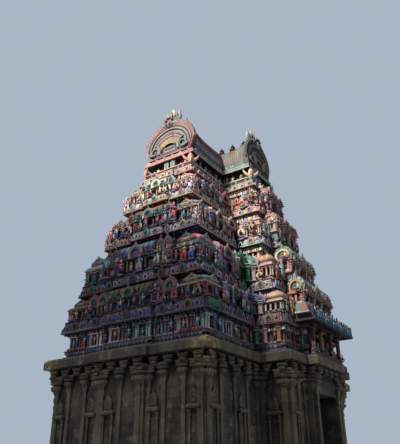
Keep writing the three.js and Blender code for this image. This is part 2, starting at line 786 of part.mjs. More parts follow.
// The footing strip along both ridges and the row of pot finials that stands on it.
function buildRidge() {
  const ridge = vaultLow + VAULT_RISE.main;
  const crossRidge = vaultLow + VAULT_RISE.cross;
  const { half, rise, seat, reach } = RIDGE_STRIP;
  const top = ridge + rise;
  const reachX = (gableFace.x - GABLE_THICKNESS) * reach;
  const reachY = (gableFace.y - GABLE_THICKNESS) * reach;
  const strips = [
    boxBetween([-reachX, -half, ridge - seat], [reachX, half, top]),
    boxBetween([-half, -reachY, crossRidge - seat], [half, reachY, top]),
  ];
  const profile = [
    [0, 0],
    [0.14, 0],
    [0.25, 0.32],
    [0.07, 0.66],
    [0, 1],
  ].map(([r, h]) => new THREE.Vector2(r * FINIAL_HEIGHT, h * FINIAL_HEIGHT));
  const pot = new THREE.LatheGeometry(profile, 6);
  pot.rotateX(Math.PI / 2);
  const finialAt = (x, y) => solidOf(pot).translate([x, y, top - SEAT]);
  const finials = [];
  for (let i = -4; i <= 4; i += 1) finials.push(finialAt(i * FINIAL_SPACING, 0));
  for (const side of [-1, 1]) {
    for (let i = 1; i <= 3; i += 1) finials.push(finialAt(0, side * i * FINIAL_SPACING));
  }
  const vaultBelow = crossingVaults(0).translate([0, 0, GAP]);
  addNode("ridge_finials", join([...strips, ...finials]).subtract(vaultBelow), copper);
}

buildPlinth();
buildStoneWalls();
buildStoneCornice();
for (let storey = 0; storey < STOREY_LIPS.length; storey += 1) {
  buildStoreyWall(storey);
  addNode(`cornice_${storey + 1}`, corniceSolid(storey), teal);
}
for (let storey = 0; storey < ROW_HEIGHTS.length; storey += 1) {
  buildPavilionRow(storey);
  buildPortals(storey);
}
buildPorch();
buildNeck();
buildTopParapet();
buildEave();
buildVault();
buildGables();
buildRidge();

export default tower;
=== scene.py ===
# %% [markdown]
# # A painted temple gateway
#
# A gopuram is the gateway tower of a South Indian temple: a granite base with a passage
# through it, brick storeys that step back as they rise, and a barrel roof with horseshoe
# gables. Everything over the granite is covered with stucco ornament in bright paint. The
# masonry comes ready as a fixed frame of CAD pieces. This lesson gives it its ornament: a
# few dozen small forms are modelled once, and then set out along the plan a few thousand
# times. Metres, Z up, and the front looks towards -Y.

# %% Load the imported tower
import math
import random
import re
from collections import namedtuple

import bpy
import numpy as np
from mathutils import Matrix, Vector


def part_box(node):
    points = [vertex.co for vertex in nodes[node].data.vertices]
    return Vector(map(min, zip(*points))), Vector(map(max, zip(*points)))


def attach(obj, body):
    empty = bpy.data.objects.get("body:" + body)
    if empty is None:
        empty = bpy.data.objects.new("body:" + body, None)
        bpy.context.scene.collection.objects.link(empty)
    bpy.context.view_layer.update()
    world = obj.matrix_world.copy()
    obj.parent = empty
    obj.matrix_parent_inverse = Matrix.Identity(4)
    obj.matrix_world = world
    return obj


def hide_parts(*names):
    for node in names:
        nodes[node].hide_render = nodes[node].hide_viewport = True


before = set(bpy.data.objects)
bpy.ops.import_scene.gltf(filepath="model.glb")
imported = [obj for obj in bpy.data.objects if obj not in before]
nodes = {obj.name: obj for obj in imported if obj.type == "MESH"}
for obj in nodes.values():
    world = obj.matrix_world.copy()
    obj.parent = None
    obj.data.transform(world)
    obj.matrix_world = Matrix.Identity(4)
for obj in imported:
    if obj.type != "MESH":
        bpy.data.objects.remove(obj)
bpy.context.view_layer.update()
print("pieces in the frame:", len(nodes))

# %% [markdown]
# ## The plan
#
# The storeys share one plan with a stepped outline: a middle bay on each end, and on each
# long side a projecting bay with a door bay in front of it. The ornament has to follow those
# steps, so the outline is read off the top of each cornice and kept as one quarter, because
# the tower is symmetric. Each straight stretch of the outline becomes a run with its own
# place, direction and length, and ornament is set out along runs.

# %% Read the plan off the cornices
Run = namedtuple("Run", "bay x y turn length")
CORNICE_TOP_INSET = 0.19
STONE_TOP_INSET = 0.16
QUARTER_BAYS = ["end_step", "end_side", "wing", "notch", "bay", "door_step"]
CROSS_BAYS = ["wing", "notch"]


def quarter_plan(node, inset):
    """The corners of a quarter of the plan at a cornice's lip, from the end round to the door."""
    points = np.array([v.co for v in nodes[node].data.vertices])
    top = points[points[:, 2] > points[:, 2].max() - 0.002]
    corners = {(round(abs(x) + inset, 3), round(abs(y) + inset, 3)) for x, y, _ in top}
    return sorted(corners, key=lambda corner: (-corner[0], corner[1]))


def outline(quarter, offset):
    """The whole outline, moved outwards by offset, anticlockwise seen from above."""
    corners = [(x + offset, y + offset) for x, y in quarter]
    signs = [(1, 1, 1), (-1, 1, -1), (-1, -1, 1), (1, -1, -1)]
    return np.array([(sx * x, sy * y) for sx, sy, way in signs for x, y in corners[::way]])


def runs(quarter, offset):
    """The straight stretches of the outline. Each leads to the right, seen from outside."""
    bays = QUARTER_BAYS if len(quarter) == 7 else CROSS_BAYS
    names = [*bays, "door", *reversed(bays), "end"] * 2
    points = outline(quarter, offset)
    ahead = np.roll(points, -1, axis=0) - points
    return [
        Run(bay, x, y, math.degrees(math.atan2(dy, dx)), math.hypot(dx, dy))
        for bay, (x, y), (dx, dy) in zip(names, points, ahead)
    ]


PLANS = [quarter_plan(f"cornice_{i}", CORNICE_TOP_INSET) for i in range(1, 6)]
LIPS = [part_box(f"cornice_{i}")[0].z for i in range(1, 6)]
TOPS = [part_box(f"cornice_{i}")[1].z for i in range(1, 6)]
STONE_PLAN = quarter_plan("stone_cornice", STONE_TOP_INSET)
STONE_LOW, STONE_TOP = (corner.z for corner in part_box("stone_cornice"))
EAVE_LOW, EAVE_TOP = (corner.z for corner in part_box("roof_eave"))
EAVE_TOP_INSET = 0.17
EAVE_PLAN = [quarter_plan("roof_eave", EAVE_TOP_INSET)[i] for i in (0, 2, 3)]
for storey, plan in enumerate(PLANS, 1):
    print(f"storey {storey}: {2 * plan[2][0]:.2f} m long at a lip {LIPS[storey - 1]:.2f} m up")

# %% [markdown]
# ## Paints
#
# The real tower is painted by hand in enamel and lime colours, a different one on nearly
# every moulding, and the sun has bleached them. A material for each paint could do that, but
# one that reads its colour from the mesh is easier to age evenly. So each face of a form has
# a role, such as rim or shaft, and a scheme says which paint each role gets where the form
# is set. Choices of paints are written as rows of names, so that they can be compared.

# %% Name the paints and the roles
PAINTS = {
    "white": "#e2dccf", "cream": "#e4cb98", "peach": "#dd9d6c", "salmon": "#d77c68",
    "pink": "#d98885", "rose": "#bf4d59", "red": "#a8322c", "maroon": "#561f2b",
    "orange": "#c8622a", "ochre": "#b27d2c", "yellow": "#dab43f", "olive": "#7f7a45",
    "mint": "#9dccab", "green": "#3a8856", "bottle": "#14593c", "teal": "#2d7a7a",
    "sea": "#54a09a", "sky": "#70a0c8", "blue": "#305699", "navy": "#1e2b57",
    "lilac": "#9a86ba", "purple": "#583f79", "mauve": "#81687a", "grey": "#8a888a",
    "slate": "#4b5969", "brown": "#64402b", "soot": "#17120f", "gold": "#c39231",
    "blush": "#c8a39b", "lichen": "#90a89b", "stone": "#b3a89a", "plum": "#57364f",
}
ROLES = "wall base trim shaft dark roof rib rim lobe bead heart skin cloth crown gold".split()
ROLE = {name: number for number, name in enumerate(ROLES)}
PLAIN_SCHEME = dict(zip(ROLES, (
    "mauve slate cream sea soot peach cream pink rose cream teal peach red gold gold").split()))


def linear(name):
    """A named paint as linear red, green and blue."""
    hexes = PAINTS[name].lstrip("#")
    srgb = np.array([int(hexes[i:i + 2], 16) / 255 for i in (0, 2, 4)])
    return np.where(srgb <= 0.04045, srgb / 12.92, ((srgb + 0.055) / 1.055) ** 2.4)


LINEAR = {name: linear(name) for name in PAINTS}


def scheme(**choices):
    """One colour for each role, as a table that faces look up."""
    names = {**PLAIN_SCHEME, **choices}
    return np.array([LINEAR[names[role]] for role in ROLES])


def looks(roles, *rows):
    """Choices of paints, each a row of names in the order of the roles."""
    return [dict(zip(roles.split(), row.split())) for row in rows]


def schemes(roles, *rows):
    return [scheme(**look) for look in looks(roles, *rows)]


print("paints:", len(PAINTS), "roles:", len(ROLES))

# %% [markdown]
# ## Sun and shade
#
# Paint fades where the sun reaches it. On this tower the top storeys have turned chalky,
# while lower down the colours are darker and stronger, and the projecting bays have faded
# further down than the wings behind them. A table of heights says how much, and each face
# reads it when its mesh is built. The long faces and the first row of pavilions, which get
# the least sun, stay darkest. The fading is the paint's own, but the darkening is painted
# shade: the shade on the lower storeys, the long faces and the first row is painted into
# their colour, the same from every side.

# %% Say how far the paint has faded and where shade is painted
SUN_FROM, SUN_RISE = LIPS[3] - 1.3, 1.8
FIRST_WALL_SUN = 0.5
BAY_SUN = [10.2, 11.6, 14.5, 17.5], [0.2, 0.62, 0.82, 1.0]
# Painted shade: the first row of pavilions and the long sides are darker, and SHADE_TINT darkens
# and cools every colour where the sun share is low.
FIRST_ROW_PAINTED_SHADE = [LIPS[0] - 0.01, LIPS[0], 12.3, 13.2], [1, 0.6, 0.6, 1]
LONG_SIDE_PAINTED_SHADE = 0.4
FADED, FRESH = 0.76, 1.0
SHADE_TINT = np.array([0.43, 0.43, 0.48])


def exposure(points):
    """From 0 on the lower storeys to 1 on the upper ones, which the sun has bleached. Below 1 the
    colour is also darkened as painted shade. The first storey's wall has a part of it, and the
    projecting bays more than the wings."""
    least = FIRST_WALL_SUN * (points[:, 2] < LIPS[0])
    high = np.clip((points[:, 2] - SUN_FROM) / SUN_RISE, least, 1)
    wing_front = np.interp(points[:, 2], LIPS, [plan[2][1] for plan in PLANS])
    bay = np.interp(points[:, 2], *BAY_SUN) * (np.abs(points[:, 1]) > wing_front)
    return np.maximum(high, bay)[:, None]


def face_sun(start, second, third):
    """The exposure of faces from three of their corners, less on the long sides and on the first
    row of pavilions, as painted shade.
    """
    normal = np.abs(np.cross(second - start, third - start)) + 1e-9
    to_front = normal[:, 1:2] / normal.sum(axis=1, keepdims=True)
    dim = np.interp(start[:, 2:], *FIRST_ROW_PAINTED_SHADE)
    return exposure(start) * (1 - LONG_SIDE_PAINTED_SHADE * to_front) * dim


def faded_with_painted_shade(colours, sun):
    """Paints faded by the sun, or where it never came, strong but with painted shade: darker and
    a little blue.
    """
    grey = colours.mean(axis=1, keepdims=True)
    vivid = np.clip(grey + (colours - grey) * (FRESH + (FADED - FRESH) * sun), 0, 1)
    return vivid * (SHADE_TINT + (1 - SHADE_TINT) * sun)


print("the paint is fully faded from", round(SUN_FROM + SUN_RISE, 2), "m up")

# %% [markdown]
# ## Forms and heaps
#
# Ornament on this tower is cast or modelled on the spot, and the same shape comes back
# hundreds of times. Blender's own instances would keep that small, but the finished tower
# has to be plain meshes, so a form here is a few numpy arrays, and a heap copies forms into
# one big mesh, each copy with its own place and paints. A slight change of shade from copy
# to copy stands for the painter's hand.

# %% Make the form and the heap
SHADE_SPREAD = 0.22
TINT_SPREAD = 0.06


class Form:
    """Points, faces of four corners (a triangle has -1 as the fourth), and for each face
    its role and whether it is shaded smooth."""

    def __init__(self, points, faces, roles, smooth):
        self.points = np.asarray(points, float).reshape(-1, 3)
        self.faces = np.asarray(faces, int).reshape(-1, 4)
        self.roles = np.asarray(roles, int)
        self.smooth = np.asarray(smooth, bool)

    def __add__(self, other):
        later = np.where(other.faces < 0, -1, other.faces + len(self.points))
        return Form(
            np.vstack([self.points, other.points]),
            np.vstack([self.faces, later]),
            np.concatenate([self.roles, other.roles]),
            np.concatenate([self.smooth, other.smooth]),
        )

    def moved(self, place):
        """A copy of the form, moved by a 4 by 4 matrix."""
        points = self.points @ place[:3, :3].T + place[:3, 3]
        mirrored = np.linalg.det(place[:3, :3]) < 0
        faces = self.faces[:, [2, 1, 0, 3]] if mirrored else self.faces
        return Form(points, faces, self.roles, self.smooth)

    def at(self, *args, **kwargs):
        return self.moved(spot(*args, **kwargs))


def spot(x=0.0, y=0.0, z=0.0, turn=0.0, size=1.0):
    """Where a form goes: scaled, turned about Z by degrees, then moved."""
    sx, sy, sz = (size,) * 3 if np.isscalar(size) else size
    c, s = math.cos(math.radians(turn)), math.sin(math.radians(turn))
    return np.array([[c * sx, -s * sy, 0, x], [s * sx, c * sy, 0, y], [0, 0, sz, z], [0, 0, 0, 1]])


def total(forms):
    """Several forms as one."""
    joined = forms[0]
    for form in forms[1:]:
        joined = joined + form
    return joined


class Heap:
    """Copies of forms that end up in one mesh."""

    def __init__(self, name):
        self.name = name
        self.random = np.random.default_rng(sum(map(ord, name)))
        self.parts = []
        self.count = 0

    def add(self, form, place, paints, *args, **kwargs):
        """A copy of the form at a place, or at a spot that is given from that place."""
        copy = form.moved(place @ spot(*args, **kwargs))
        shade = 1 + SHADE_SPREAD * self.random.uniform(-1, 1)
        tint = 1 + TINT_SPREAD * self.random.uniform(-1, 1, 3)
        colours = np.clip(paints * shade * tint, 0, 1)[copy.roles]
        faces = np.where(copy.faces < 0, -1, copy.faces + self.count)
        self.parts.append((copy.points, faces, colours, copy.smooth))
        self.count += len(copy.points)

    def build(self, material):
        """One mesh object of everything in the heap, with its paints on the face corners."""
        points, faces, colours, smooth = (np.concatenate(part) for part in zip(*self.parts))
        corners = faces.ravel()
        kept = corners >= 0
        sizes = np.where(faces[:, 3] < 0, 3, 4)
        mesh = bpy.data.meshes.new(self.name)
        mesh.vertices.add(len(points))
        mesh.vertices.foreach_set("co", points.ravel())
        mesh.loops.add(int(sizes.sum()))
        mesh.loops.foreach_set("vertex_index", corners[kept])
        mesh.polygons.add(len(faces))
        mesh.polygons.foreach_set("loop_start", np.concatenate([[0], np.cumsum(sizes)[:-1]]))
        mesh.update(calc_edges=True)
        mesh.polygons.foreach_set("use_smooth", smooth)
        # Each face's paint is faded and given its painted shade here; alpha keeps its sun share.
        sun = face_sun(*(points[faces[:, i]] for i in range(3)))
        rgba = np.repeat(np.column_stack([faded_with_painted_shade(colours, sun), sun]), sizes, axis=0)
        paint = mesh.color_attributes.new("paint", "FLOAT_COLOR", "CORNER")
        paint.data.foreach_set("color", rgba.ravel().astype(np.float32))
        mesh.materials.append(material)
        made = bpy.data.objects.new(self.name, mesh)
        bpy.context.scene.collection.objects.link(made)
        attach(made, "root")
        print(f"{self.name}: {int((sizes - 2).sum())} triangles")
        return made


# %% Make skins over rings
def listed(text, count=2):
    """Rows of numbers, each with its role, from text where a role stands before its rows."""
    rows = []
    for role, numbers in re.findall(r"([a-z/]+)([-.\d\s]+)", text):
        values = map(float, numbers.split())
        rows += [(*row, role) for row in zip(*[values] * count)]
    return rows


def loft(rings, roles, smooth=False, loop=False):
    """A skin over rings of points that run anticlockwise, seen from where they lead, with
    flat ends unless it closes in a loop. There is one role for all, or one for each step,
    and a step's role may be several that repeat along the ring, such as lobe/bead."""
    rings = np.asarray(rings, float)
    steps, count = rings.shape[:2]
    grid = np.arange(steps * count).reshape(steps, count)
    low = grid if loop else grid[:-1]
    high = np.roll(grid, -1, axis=0) if loop else grid[1:]
    faces = np.stack([low, np.roll(low, -1, 1), np.roll(high, -1, 1), high], -1)
    named = [roles] * len(low) if isinstance(roles, str) else roles
    rows = [step.split("/") for step in named]
    face_roles = [ROLE[row[j % len(row)]] for row in rows for j in range(count)]
    points = rings.reshape(-1, 3)
    skin = Form(points, faces, face_roles, [smooth] * len(face_roles))
    if loop:
        return skin
    return skin + cap(points[grid[0][::-1]], rows[0][0]) + cap(points[grid[-1]], rows[-1][0])


def cap(points, role):
    """The flat end of a loft: one face, or a fan about the middle."""
    count = len(points)
    if count == 4:
        return Form(points, [[0, 1, 2, 3]], [ROLE[role]], [False])
    fan = [[i, (i + 1) % count, count, -1] for i in range(count)]
    middle = points.mean(axis=0)
    return Form(np.vstack([points, middle]), fan, [ROLE[role]] * count, [False] * count)


def polygon(half, z, sides, squash=1.0):
    """A level ring of equal sides, one of them square to the front, half from side to middle."""
    angle = math.pi / sides + np.arange(sides) * 2 * math.pi / sides
    reach = half / math.cos(math.pi / sides)
    return np.stack([np.cos(angle) * reach, np.sin(angle) * reach * squash, angle * 0 + z], -1)


def turned(text, sides=8, smooth=False, squash=1.0):
    """A post, pot or finial from the text of its half widths and heights."""
    rows = listed(text)
    rings = [polygon(half, z, sides, squash) for half, z, _ in rows]
    return loft(rings, [role for _, _, role in rows[1:]], smooth)


def block(width, depth, height, role, taper=1.0):
    """A stone with its front at y = 0, standing on z = 0."""
    low = [(-1, 0), (1, 0), (1, 1), (-1, 1)]
    foot = [(x * width / 2, y * depth, 0) for x, y in low]
    head = [(x * width / 2 * taper, y * depth, height) for x, y in low]
    return loft([foot, head], role)


def limb(points, radii, role, sides=5, flat=1.0):
    """A tapering tube through a few points, closed at both ends. flat thins it in depth."""
    points = np.asarray(points, float)
    along = np.gradient(points, axis=0)
    along /= np.linalg.norm(along, axis=1)[:, None]
    across = np.cross(along, (0.08, 1.0, 0.05))
    across /= np.linalg.norm(across, axis=1)[:, None]
    deep = np.cross(along, across)
    angle = np.arange(sides) * 2 * math.pi / sides
    rings = [
        p + r * (np.outer(np.cos(angle), u) + flat * np.outer(np.sin(angle), v))
        for p, r, u, v in zip(points, radii, across, deep)
    ]
    return loft(rings, role, smooth=True)


def plan_band(quarter, profile, roles):
    """A moulding that runs round the whole plan, from a closed list of (offset, height) that
    climbs on the outside."""
    count = 4 * len(quarter)
    rings = [
        np.column_stack([outline(quarter, offset), np.full(count, z)]) for offset, z in profile
    ]
    return loft(rings, roles, loop=True)


print("a column of 8 sides has", len(turned("shaft 1 0 1 1").faces), "faces")

# %% [markdown]
# ## The horseshoe arch
#
# The sign of this architecture is the kudu, a horseshoe-shaped dormer that comes in every
# size, from a hand's breadth on the cornices to the five-metre gables of the roof. It is a
# stack of rings: the outline is drawn again and again, each time a little smaller and at
# another depth, and a skin is laid over them. Scallops come from pushing every second point
# outwards.

# %% Model the arches
WAIST = 0.34


def horseshoe(half, height, steps, share=1.0, y=0.0, lobe=0.0, about=0.4, swell=1.12):
    """A pointed horseshoe in the plane at depth y, anticlockwise seen from the front, and
    shrunk by share about a point on its axis."""
    waist = height * WAIST
    angle = np.linspace(0, math.pi, 2 * steps + 1)
    bulge = 1 + lobe * (np.arange(2 * steps + 1) % 2)
    x = np.concatenate([[half], np.cos(angle) * half * swell * bulge, [-half]])
    z = np.concatenate([[0], waist + np.sin(angle) * (height - waist) * bulge, [0]])
    middle = about * height
    return np.stack([x * share, x * 0 + y, middle + (z - middle) * share], -1)


def arch(half, height, steps, text, about=0.4, swell=1.12):
    """A relief of rings from rows of share, depth and lobe, from the back forwards."""
    rows = listed(text, 3)
    rings = [
        horseshoe(half, height, steps, share, y, lobe, about, swell) for share, y, lobe, _ in rows
    ]
    return loft(rings, [role for *_, role in rows[1:]])


def leaf_tip(width, low, high, role="lobe"):
    """The small flame on top of an arch."""
    heights = np.linspace(low, high, 4)
    return limb([(0, 0.02, z) for z in heights], [width * s for s in (0.7, 1, 0.6, 0.06)], role, 4)


SMALL_KUDU = arch(0.44, 0.86, 3, """
    rim  1 0.3 0  1 -0.02 0.05  0.8 -0.12 0
    bead 0.62 -0.1 0
    dark 0.5 0.02 0""") + leaf_tip(0.13, 0.82, 1.12)
RING_KUDU = arch(0.45, 0.88, 7, """
    lobe 1 0.24 0  1 -0.01 0.09  0.86 -0.09 0
    bead 0.82 -0.05 0
    rim  0.72 -0.11 0  0.62 -0.1 0
    bead 0.57 -0.01 0
    heart 0.46 -0.03 0  0.26 -0.03 0
    dark 0.22 0.06 0""") + leaf_tip(0.12, 0.84, 1.14)
PLEATED_KUDU = arch(0.45, 0.88, 12, """
    lobe 1 0.24 0  1 -0.02 0.05
    lobe/bead 0.94 -0.08 0  0.74 -0.05 0
    trim 0.7 -0.1 0  0.62 -0.09 0
    rib  0.6 -0.03 0  0.55 -0.03 0
    rim  0.5 -0.08 0  0.42 -0.07 0
    heart 0.38 0.03 0""") + leaf_tip(0.12, 0.84, 1.14)
OPEN_KUDU = arch(0.45, 0.88, 9, """
    lobe 1 0.24 0  1 -0.01 0.07
    lobe/lobe/dark 0.82 -0.08 0
    bead 0.8 -0.03 0
    rim  0.74 -0.11 0  0.6 -0.1 0
    bead 0.56 -0.02 0
    heart 0.5 -0.02 0  0.46 0.14 0""") + leaf_tip(0.12, 0.84, 1.14)
for name, form in (("small", SMALL_KUDU), ("ringed", RING_KUDU), ("pleated", PLEATED_KUDU)):
    print(f"{name} kudu: {len(form.faces)} faces")

# %% [markdown]
# ## Columns, blocks and pots
#
# Between the figures stand small columns and flat pilasters with a waisted capital, a
# cushion, a wide thin abacus and a bracket. Both are turned from one list of widths and
# heights: eight sides make a column, and four sides, stretched where they are set, make a
# pilaster. The pots on the roofs are turned the same way.

# %% Turn the columns and pots
SHAFT = """
    base 0.5 0  0.5 0.05  trim 0.42 0.07  0.42 0.1  shaft 0.33 0.12  0.3 0.62
    trim 0.36 0.64  0.28 0.67  shaft 0.4 0.72  0.3 0.77  trim 0.52 0.82  0.55 0.86
    base 0.34 0.88  0.38 0.92  trim 0.6 0.96  0.6 1"""
COLUMN = turned(SHAFT, 6)
PIER = turned(SHAFT, 4)
PILASTER = PIER.at(y=0.3)
SLIM_POST = turned("""
    trim 0.5 0  0.46 0.08  shaft 0.32 0.12  0.29 0.66  trim 0.42 0.72  shaft 0.3 0.8
    trim 0.58 0.88  base 0.4 0.92  0.6 1""", 4)
POT = turned("""
    gold 0.16 0  0.2 0.06  0.1 0.12  0.3 0.26  0.36 0.4  0.26 0.54  0.1 0.62  0.16 0.68
    0.07 0.76  0.09 0.82  0.01 1""", 8, smooth=True)
TOOTH = block(1, 1, 1, "bead", taper=0.85)
PETAL = limb([(0, 0.3, 0), (0, -0.05, 0.35), (0, -0.12, 0.7), (0, 0.3, 1)],
             [0.3, 0.5, 0.5, 0.3], "lobe", 6, 0.5)
print("column:", len(COLUMN.faces), "faces; pot:", len(POT.faces), "faces")

# %% [markdown]
# ## Figures
#
# Hundreds of stucco figures crowd the storeys: gods and their attendants standing, dancing
# and seated, guardians with clubs, squatting bearers. Close up they are doll-like: tube
# limbs, a tall crown, a bright cloth. They are built that way, from tapering tubes through
# the joints of a body, so that one row of numbers makes one pose: the height of the hips,
# then the left and right knees, feet, elbows and hands. The faces stay plain and calm, a
# smooth oval under the crown.

# %% Model the figures
POSES = {name: np.array(numbers.split(), float) for name, numbers in {
    "standing": """0.46  -0.07 -0.03 0.25  0.08 -0.04 0.25  -0.07 0 0  0.1 0 0
        -0.19 0 0.6  0.18 -0.01 0.58  -0.17 -0.1 0.72  0.13 -0.08 0.46""",
    "dancing": """0.42  -0.14 -0.05 0.26  0.2 -0.08 0.34  -0.06 0 0  0.08 -0.1 0.18
        -0.22 0 0.66  0.22 -0.02 0.62  -0.26 -0.04 0.84  0.1 -0.12 0.56""",
    "seated": """0.2  -0.2 -0.1 0.18  0.18 -0.12 0.2  -0.02 -0.16 0.12  0.14 -0.1 0
        -0.17 -0.02 0.32  0.18 -0.02 0.34  -0.12 -0.12 0.46  0.14 -0.14 0.24""",
    "guardian": """0.44  -0.13 -0.05 0.24  0.15 -0.05 0.25  -0.12 0 0  0.17 0 0
        -0.22 0 0.64  0.22 -0.04 0.56  -0.24 -0.03 0.84  0.22 -0.13 0.5""",
    "bearer": """0.26  -0.2 -0.1 0.26  0.2 -0.1 0.26  -0.13 -0.02 0  0.13 -0.02 0
        -0.22 0 0.5  0.22 0 0.5  -0.15 -0.02 0.74  0.15 -0.02 0.74""",
    "folded": """0.46  -0.06 -0.02 0.24  0.06 -0.02 0.24  -0.06 0 0  0.06 0 0
        -0.16 -0.03 0.56  0.16 -0.03 0.56  -0.02 -0.14 0.66  0.02 -0.14 0.66""",
}.items()}
BODY = ("cloth 0.085 -0.03  gold 0.095 0.03  skin 0.066 0.08  0.118 0.22"
        "  gold 0.1 0.26  skin 0.036 0.32")
HEAD = "skin 0.03 0.31  0.054 0.35  0.054 0.4  crown 0.066 0.44  0.046 0.51  0.006 0.62"


def figure(name, four_armed=False):
    """A figure a little over 1 high, looking towards -Y."""
    hips, joints = POSES[name][0], POSES[name][1:].reshape(4, 2, 3)
    parts = [turned(BODY, 5, True, 0.66).at(z=hips), turned(HEAD, 5, True, 0.95).at(z=hips)]
    for side, knee, foot, elbow, hand in zip((-1, 1), *joints):
        shoulder = (side * 0.12, 0, hips + 0.24)
        parts.append(limb([(side * 0.05, 0, hips), knee, foot], [0.08, 0.078, 0.05], "cloth"))
        parts.append(limb([shoulder, elbow, hand], [0.042, 0.038, 0.03], "skin", 4))
        if four_armed:
            lifted = (side * 0.22, 0.03, hips + 0.2), (side * 0.24, 0, hips + 0.4)
            parts.append(limb([shoulder, *lifted], [0.03, 0.026, 0.03], "skin", 4))
    if name == "guardian":
        club = [(0.24, -0.14, 0.0), (0.23, -0.14, 0.14), (0.22, -0.14, 0.3), (0.21, -0.13, 0.56)]
        parts.append(limb(club, [0.05, 0.06, 0.022, 0.02], "gold"))
    parts.append(turned("rim 0.18 -0.1  0.13 -0.06  base 0.18 0", 5, squash=0.7))
    return total(parts).at(z=0.1)


FIGURES = {name: figure(name) for name in POSES}
FIGURES["four arms"] = figure("standing", True)
FIGURES["seated four arms"] = figure("seated", True)
print({name: len(form.faces) for name, form in FIGURES.items()})

# %% [markdown]
# ## Rows of things
#
# Teeth, petals, balusters and small arches all stand in rows along a straight stretch. One
# function spreads copies evenly over a run, at least one, and leaves the ends clear by half
# a step, so that the rows on two sides of a corner never collide.

# %% Spread forms along a run
def evenly(length, pitch):
    """Middles of equal steps over a length, as near to the pitch as fits, and the step."""
    count = max(1, round(length / pitch))
    step = length / count
    return (np.arange(count) + 0.5) * step, step


def along(run, where, out=0.0, z=0.0):
    """The place on a run, that far from its left end and pushed outwards."""
    return spot(run.x, run.y, z, run.turn) @ spot(where, -out)


def row_on_runs(heap, stretch, form, pitch, z, size, paints, out=0.0, shortest=0.3):
    """The same form again and again along every run of a plan; paints take turns."""
    for run in stretch:
        if run.length < shortest:
            continue
        for i, where in enumerate(evenly(run.length, pitch)[0]):
            heap.add(form, along(run, where, out, z) @ spot(size=size), paints[i % len(paints)])


STANDING = ["standing", "dancing", "guardian", "folded", "four arms", "standing"]
SEATED = ["seated", "seated four arms", "bearer"]
SUNNY_PAINTS = dict(
    skin="salmon pink peach cream mint white ochre lichen blush salmon pink",
    cloth="rose white cream salmon mint peach pink red stone teal",
    crown="gold ochre peach cream", gold="gold blush cream", base="rose pink lichen stone",
    rim="pink white sea",
)
SHADY_PAINTS = dict(
    skin="peach salmon sky blush pink green white sea rose mauve",
    cloth="red rose blue green maroon stone purple teal", crown="gold ochre red blush",
    gold="gold blush cream", base="rose lilac teal stone", rim="pink white sea",
)
CANOPY_CROWD = dict(
    skin="white sky stone slate sea", cloth="white slate teal navy sky", crown="white sky",
    gold="white sky", base="slate navy", rim="white sky",
)
# Painted shade: on the long sides, figures in the sun swap warm paints for cooler ones.
LONG_SIDE_SHADE_PAINTS = dict(
    salmon="rose", peach="mauve", cream="lilac", ochre="sea", blush="lilac", stone="slate",
    gold="peach",
)
# Figures out of the sun are made brighter, so they stand out from the painted shade round them.
SHADE_FIGURE_LIFT = 1.4


def set_figure(heap, place, names, source, choices=None):
    """A figure with one of these names, in paints of its own: pale and warm up in the sun, partly
    as fading and partly as painted light, cooler on the long sides as painted shade, and strong
    where the sun never comes, brightened against the painted shade there."""
    sunny = exposure(place[None, :3, 3])[0, 0] > 0.5
    choices = choices or (SUNNY_PAINTS if sunny else SHADY_PAINTS)
    drawn = {role: source.choice(words.split()) for role, words in choices.items()}
    if sunny and abs(place[1, 1]) > abs(place[0, 1]):
        drawn = {role: LONG_SIDE_SHADE_PAINTS.get(name, name) for role, name in drawn.items()}
    strength = 1 if sunny else SHADE_FIGURE_LIFT
    heap.add(FIGURES[source.choice(names)], place, scheme(**drawn) * strength)


print("steps of 0.6 m in a run of 4 m:", len(evenly(4, 0.6)[0]))

# %% [markdown]
# ## Small pavilions
#
# Each storey carries a row of miniature buildings: square ones with a dome, oblong ones with
# a barrel roof, and narrow ones whose whole roof is one big kudu. Beside the middle bays of
# the upper rows the square ones end in a smaller storey instead of a dome. All share a body
# of footing, columns, dark recess, lintel and curved eave, which is one stack of rectangles,
# so it is written once. Only the roofs differ.

# %% Stack the body of a pavilion
BODY_PROFILE = """
    base 0.03 0  0.03 0.05  trim -0.01 0.07  -0.01 0.1  rim 0.03 0.115  0.03 0.135
    trim -0.17 0.14  dark -0.17 0.45  trim 0 0.455  0 0.48  base 0.07 0.5  rim 0.11 0.51
    0.11 0.535  lobe 0.07 0.575  0 0.605  trim -0.03 0.61  -0.03 0.64"""
BODY_LOW, BODY_HIGH, BODY_EAVE, BODY_TOP = 0.14, 0.455, 0.5, 0.64


def stack(width, depth, height, text):
    """Oblong rings one over another; offsets in metres, heights as shares."""
    rows = listed(text)
    rings = [
        [(-width / 2 - o, -o, z * height), (width / 2 + o, -o, z * height),
         (width / 2 + o, depth, z * height), (-width / 2 - o, depth, z * height)]
        for o, z, _ in rows
    ]
    return loft(rings, [role for _, _, role in rows[1:]])


def fill_bays(heap, place, width, height, paints, source, bay=0.85, crowd=0.92):
    """Posts along the front of a pavilion's body, and before most of the bays between them a
    figure, either in the recess or taller and out on the ledge."""
    low, high = BODY_LOW * height, BODY_HIGH * height
    room = width - 0.16
    middles, step = evenly(room, bay)
    for x in [*(middles - step / 2), room]:
        heap.add(SLIM_POST, place, paints, x - room / 2, -0.02, low, size=(0.15, 0.15, high - low))
    for x in middles:
        if source.random() > crowd:
            continue
        side = source.choice([-1, 1])
        forward = source.random() < 0.6
        tall = height * (source.uniform(0.38, 0.5) if forward else source.uniform(0.29, 0.36))
        y, z = (-0.24, 0.03) if forward else (-0.07, low - 0.04)
        sway = step * source.uniform(-0.16, 0.16)
        stand = spot(x - room / 2 + sway, y, z, size=(tall * side * 1.35, tall * 1.2, tall))
        set_figure(heap, place @ stand, STANDING, source)


